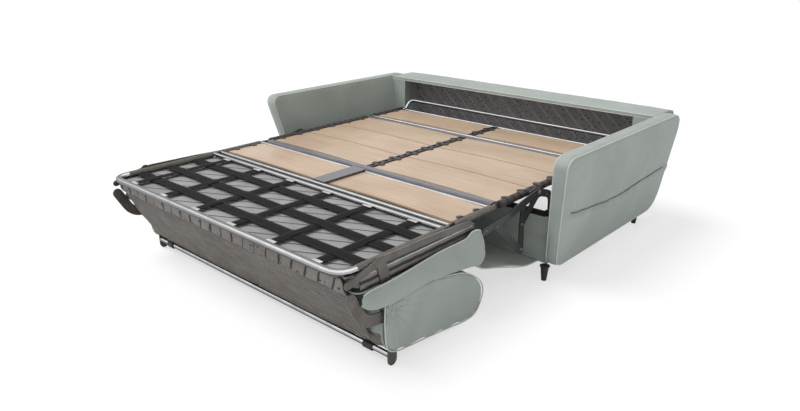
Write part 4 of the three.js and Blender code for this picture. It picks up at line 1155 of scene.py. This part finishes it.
def add_webbing(steps=110, lanes=5):
    low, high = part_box("seat_webbing")
    middle = (low.z + high.z) / 2
    across = [low.y + (high.y - low.y) * (i + 0.75) / (CROSS_BANDS + 0.5) for i in range(CROSS_BANDS)]
    along = along_places(low, high)
    points, faces, marks = [], [], []
    def band(start, end, at, width, crossings, first, turned):
        base = len(points)
        for run in np.linspace(start, end, steps + 1):
            height = 0.0
            for k, crossing in enumerate(crossings):
                height += 0.0024 * bell(run - crossing, 0.034) * (1 if (k + first) % 2 else -1)
            for share in np.linspace(0, 1, lanes):
                edge = at + (share - 0.5) * width
                z = middle + height - 0.0005 * math.cos(share * 2 * math.pi)
                points.append((edge, run, z) if turned else (run, edge, z))
                marks.append((run, share))
        for i in range(steps):
            for j in range(lanes - 1):
                corner = base + i * lanes + j
                ring = (corner, corner + 1, corner + lanes + 1, corner + lanes)
                faces.append(ring if turned else ring[::-1])
    for i, y in enumerate(across):
        band(low.x, high.x, y, CROSS_BAND_WIDTH, along, i, False)
    for i, x in enumerate(along):
        band(low.y - 0.010, high.y + 0.008, x, LONG_BAND_WIDTH, across, i + 1, True)
    mesh = mesh_of("webbing", points, faces)
    layer = mesh.uv_layers.new(name="along_band")
    for loop in mesh.loops:
        layer.data[loop.index].uv = marks[loop.vertex_index]
    cover = put("webbing_bands", with_modifier(mesh, "SOLIDIFY", thickness=0.0016, offset=0.0), "webbing", "seat")
    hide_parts("seat_webbing")


# Small fittings: webbing clips, slat caps, rivets and bar sleeves
def add_webbing_clips():
    low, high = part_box("seat_webbing")
    half, thick = 0.023, 0.0022
    clips = []
    for x in along_places(low, high):
        for y0, y1 in ((low.y - 0.006, low.y + 0.020), (high.y - 0.018, high.y + 0.006)):
            plate = box_mesh(x - half, x + half, y0, y1, high.z - 0.0002, high.z + thick)
            clips.append(rounded_edges(plate, 0.0009, 2))
    put("webbing_clips", joined("clips", clips), "clip_plate", "seat")


CAP_PROFILE = ((0.0165, 0.0), (0.0165, 0.0026), (0.0150, 0.0042), (0.0105, 0.0052), (0.0050, 0.0056))


def half_cap(x, y, z, toward):
    """Half-round cap over a slat end, with a domed top; its flat side is at x."""
    arc = [math.radians(a) for a in np.linspace(-90, 90, 13)]
    return lofted("cap", [
        [(x + toward * radius * 1.25 * math.cos(a), y + radius * math.sin(a), z + rise) for a in arc]
        for radius, rise in CAP_PROFILE
    ])


def add_slat_caps():
    overlap, seat_depth = 0.004, 0.0050
    for body in ("middle", "head", "knee"):
        prefix = "slat_" + body
        caps = []
        for node in nodes:
            if not node.startswith(prefix):
                continue
            low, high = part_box(node)
            toward = 1 if low.x > 0 else -1
            near, far = sorted((low.x, high.x), key=abs)
            for share in (0.25, 0.75):
                y = low.y + (high.y - low.y) * share
                caps.append(half_cap(near - toward * overlap, y, high.z - seat_depth, toward))
                caps.append(half_cap(far + toward * overlap, y, high.z - seat_depth, -toward))
        put(prefix + "_caps", joined("caps", caps), "dark_plastic", body)


DOME_PROFILE = ((1.0, 0.0), (1.0, 0.28), (0.86, 0.61), (0.55, 0.89), (0.2, 1.0))
LEVER_RIVETS = [(0.085, 0.121, 0.012), (-0.034, 0.419, 0.011), (-0.158, 0.307, 0.006), (-0.150, 0.190, 0.006),
                (-0.345, 0.352, 0.006), (-0.420, 0.357, 0.005), (0.030, 0.393, 0.005)]
LEG_RIVETS = [(-0.943, 0.247, 0.010), (-1.138, 0.331, 0.005), (-1.000, 0.246, 0.005)]


def dome(x, y, z, radius, side, height):
    return lofted("dome", [
        circle(x + side * height * level, y, z, radius * share, 14) for share, level in DOME_PROFILE
    ])


def add_rivets():
    """Rivet heads on the levers, and flat ones on the legs, since the levers swing past close by."""
    for body, node, spots, highest in (
        ("lift", "lift_lever_", LEVER_RIVETS, 1.0), ("backrest", "foot_leg_", LEG_RIVETS, 0.0030),
    ):
        heads = []
        for name, side in SIDES:
            face = max(abs(corner.x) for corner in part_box(node + name)) - 0.0003
            for y, z, radius in spots:
                heads.append(dome(side * face, y + FRAME_SHIFT, z, radius, side, min(0.9 * radius, highest)))
        put(body + "_rivets", joined("rivets", heads), "grey_steel", body)


SLEEVE_PROFILE = ((0.652, 0.0118), (0.652, 0.0150), (0.656, 0.0158), (0.694, 0.0158), (0.698, 0.0150), (0.698, 0.0118))


def add_bar_sleeves():
    low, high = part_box("floor_bar")
    y, z = (low.y + high.y) / 2, (low.z + high.z) / 2
    for name, side in SIDES:
        sleeve = lofted("sleeve", [circle(side * x, y, z, radius, 20) for x, radius in SLEEVE_PROFILE])
        sleeve.set_sharp_from_angle(angle=math.radians(50))
        put("bar_sleeve_" + name, sleeve, "dark_plastic", "backrest")


add_webbing()
add_slat_caps()
add_rivets()
add_bar_sleeves()
add_webbing_clips()

# Camera, floor and lamps
CAMERA_PLACE = (2.193, -2.444, 1.380)
CAMERA_DOWN = 20.37
CAMERA_TURN = 42.14
CAMERA_LENS = 30.54
SENSOR_WIDTH = 36
FLOOR_REACH = 40
FLOOR_TONE = (0.80, 0.80, 0.80)
FLOOR_TONE_SEEN = (0.38, 0.38, 0.38)
FLOOR_GLOW_SEEN = 0.63
SKY_LIGHT = 0.46


def add_camera():
    camera = add_object("camera", bpy.data.cameras.new("camera"))
    camera.data.lens = CAMERA_LENS
    camera.data.sensor_width = SENSOR_WIDTH
    camera.location = CAMERA_PLACE
    camera.rotation_euler = (QUARTER_TURN - math.radians(CAMERA_DOWN), 0, math.radians(CAMERA_TURN))
    bpy.context.scene.camera = camera


def add_floor():
    """Pale floor that fades to white as the camera sees it, and keeps the sofa's shadow."""
    corners = [(x * FLOOR_REACH, y * FLOOR_REACH, 0) for x, y in ((-1, -1), (1, -1), (1, 1), (-1, 1))]
    floor = add_object("floor", mesh_of("floor", corners, [(0, 1, 2, 3)]))
    material, tree, shader = new_material("studio_floor")
    set_values(shader, Roughness=0.95, Specular_IOR_Level=0.0, Emission_Color=(1, 1, 1, 1))
    seen = tree.nodes.new("ShaderNodeLightPath").outputs["Is Camera Ray"]
    tree.links.new(blended(tree, seen, FLOOR_TONE, FLOOR_TONE_SEEN), shader.inputs["Base Color"])
    tree.links.new(math_node(tree, "MULTIPLY", seen, FLOOR_GLOW_SEEN), shader.inputs["Emission Strength"])
    floor.data.materials.append(material)


def add_sun(name, comes_from, power, softness):
    lamp = add_object(name, bpy.data.lights.new(name, "SUN"))
    lamp.data.energy = power
    lamp.data.angle = math.radians(softness)
    lamp.visible_glossy = False
    lamp.rotation_euler = Vector(comes_from).to_track_quat("Z", "Y").to_euler()


def add_world():
    world = bpy.data.worlds.new("studio")
    bpy.context.scene.world = world
    world.use_nodes = True
    tree = world.node_tree
    background = tree.nodes["Background"]
    background.inputs["Color"].default_value = (1, 1, 1, 1)
    path = tree.nodes.new("ShaderNodeLightPath").outputs
    seen = math_node(tree, "MAXIMUM", path["Is Camera Ray"], path["Is Glossy Ray"])
    seen = math_node(tree, "MAXIMUM", seen, path["Is Transmission Ray"])
    tree.links.new(remapped(tree, seen, 0, 1, SKY_LIGHT, 1.0), background.inputs["Strength"])


add_camera()
add_floor()
add_world()
add_sun("key", (-0.40, -0.38, 0.90), 2.15, 35)
add_sun("fill", (0.55, -0.60, 0.55), 0.50, 60)
bpy.context.scene.view_settings.view_transform = "Standard"
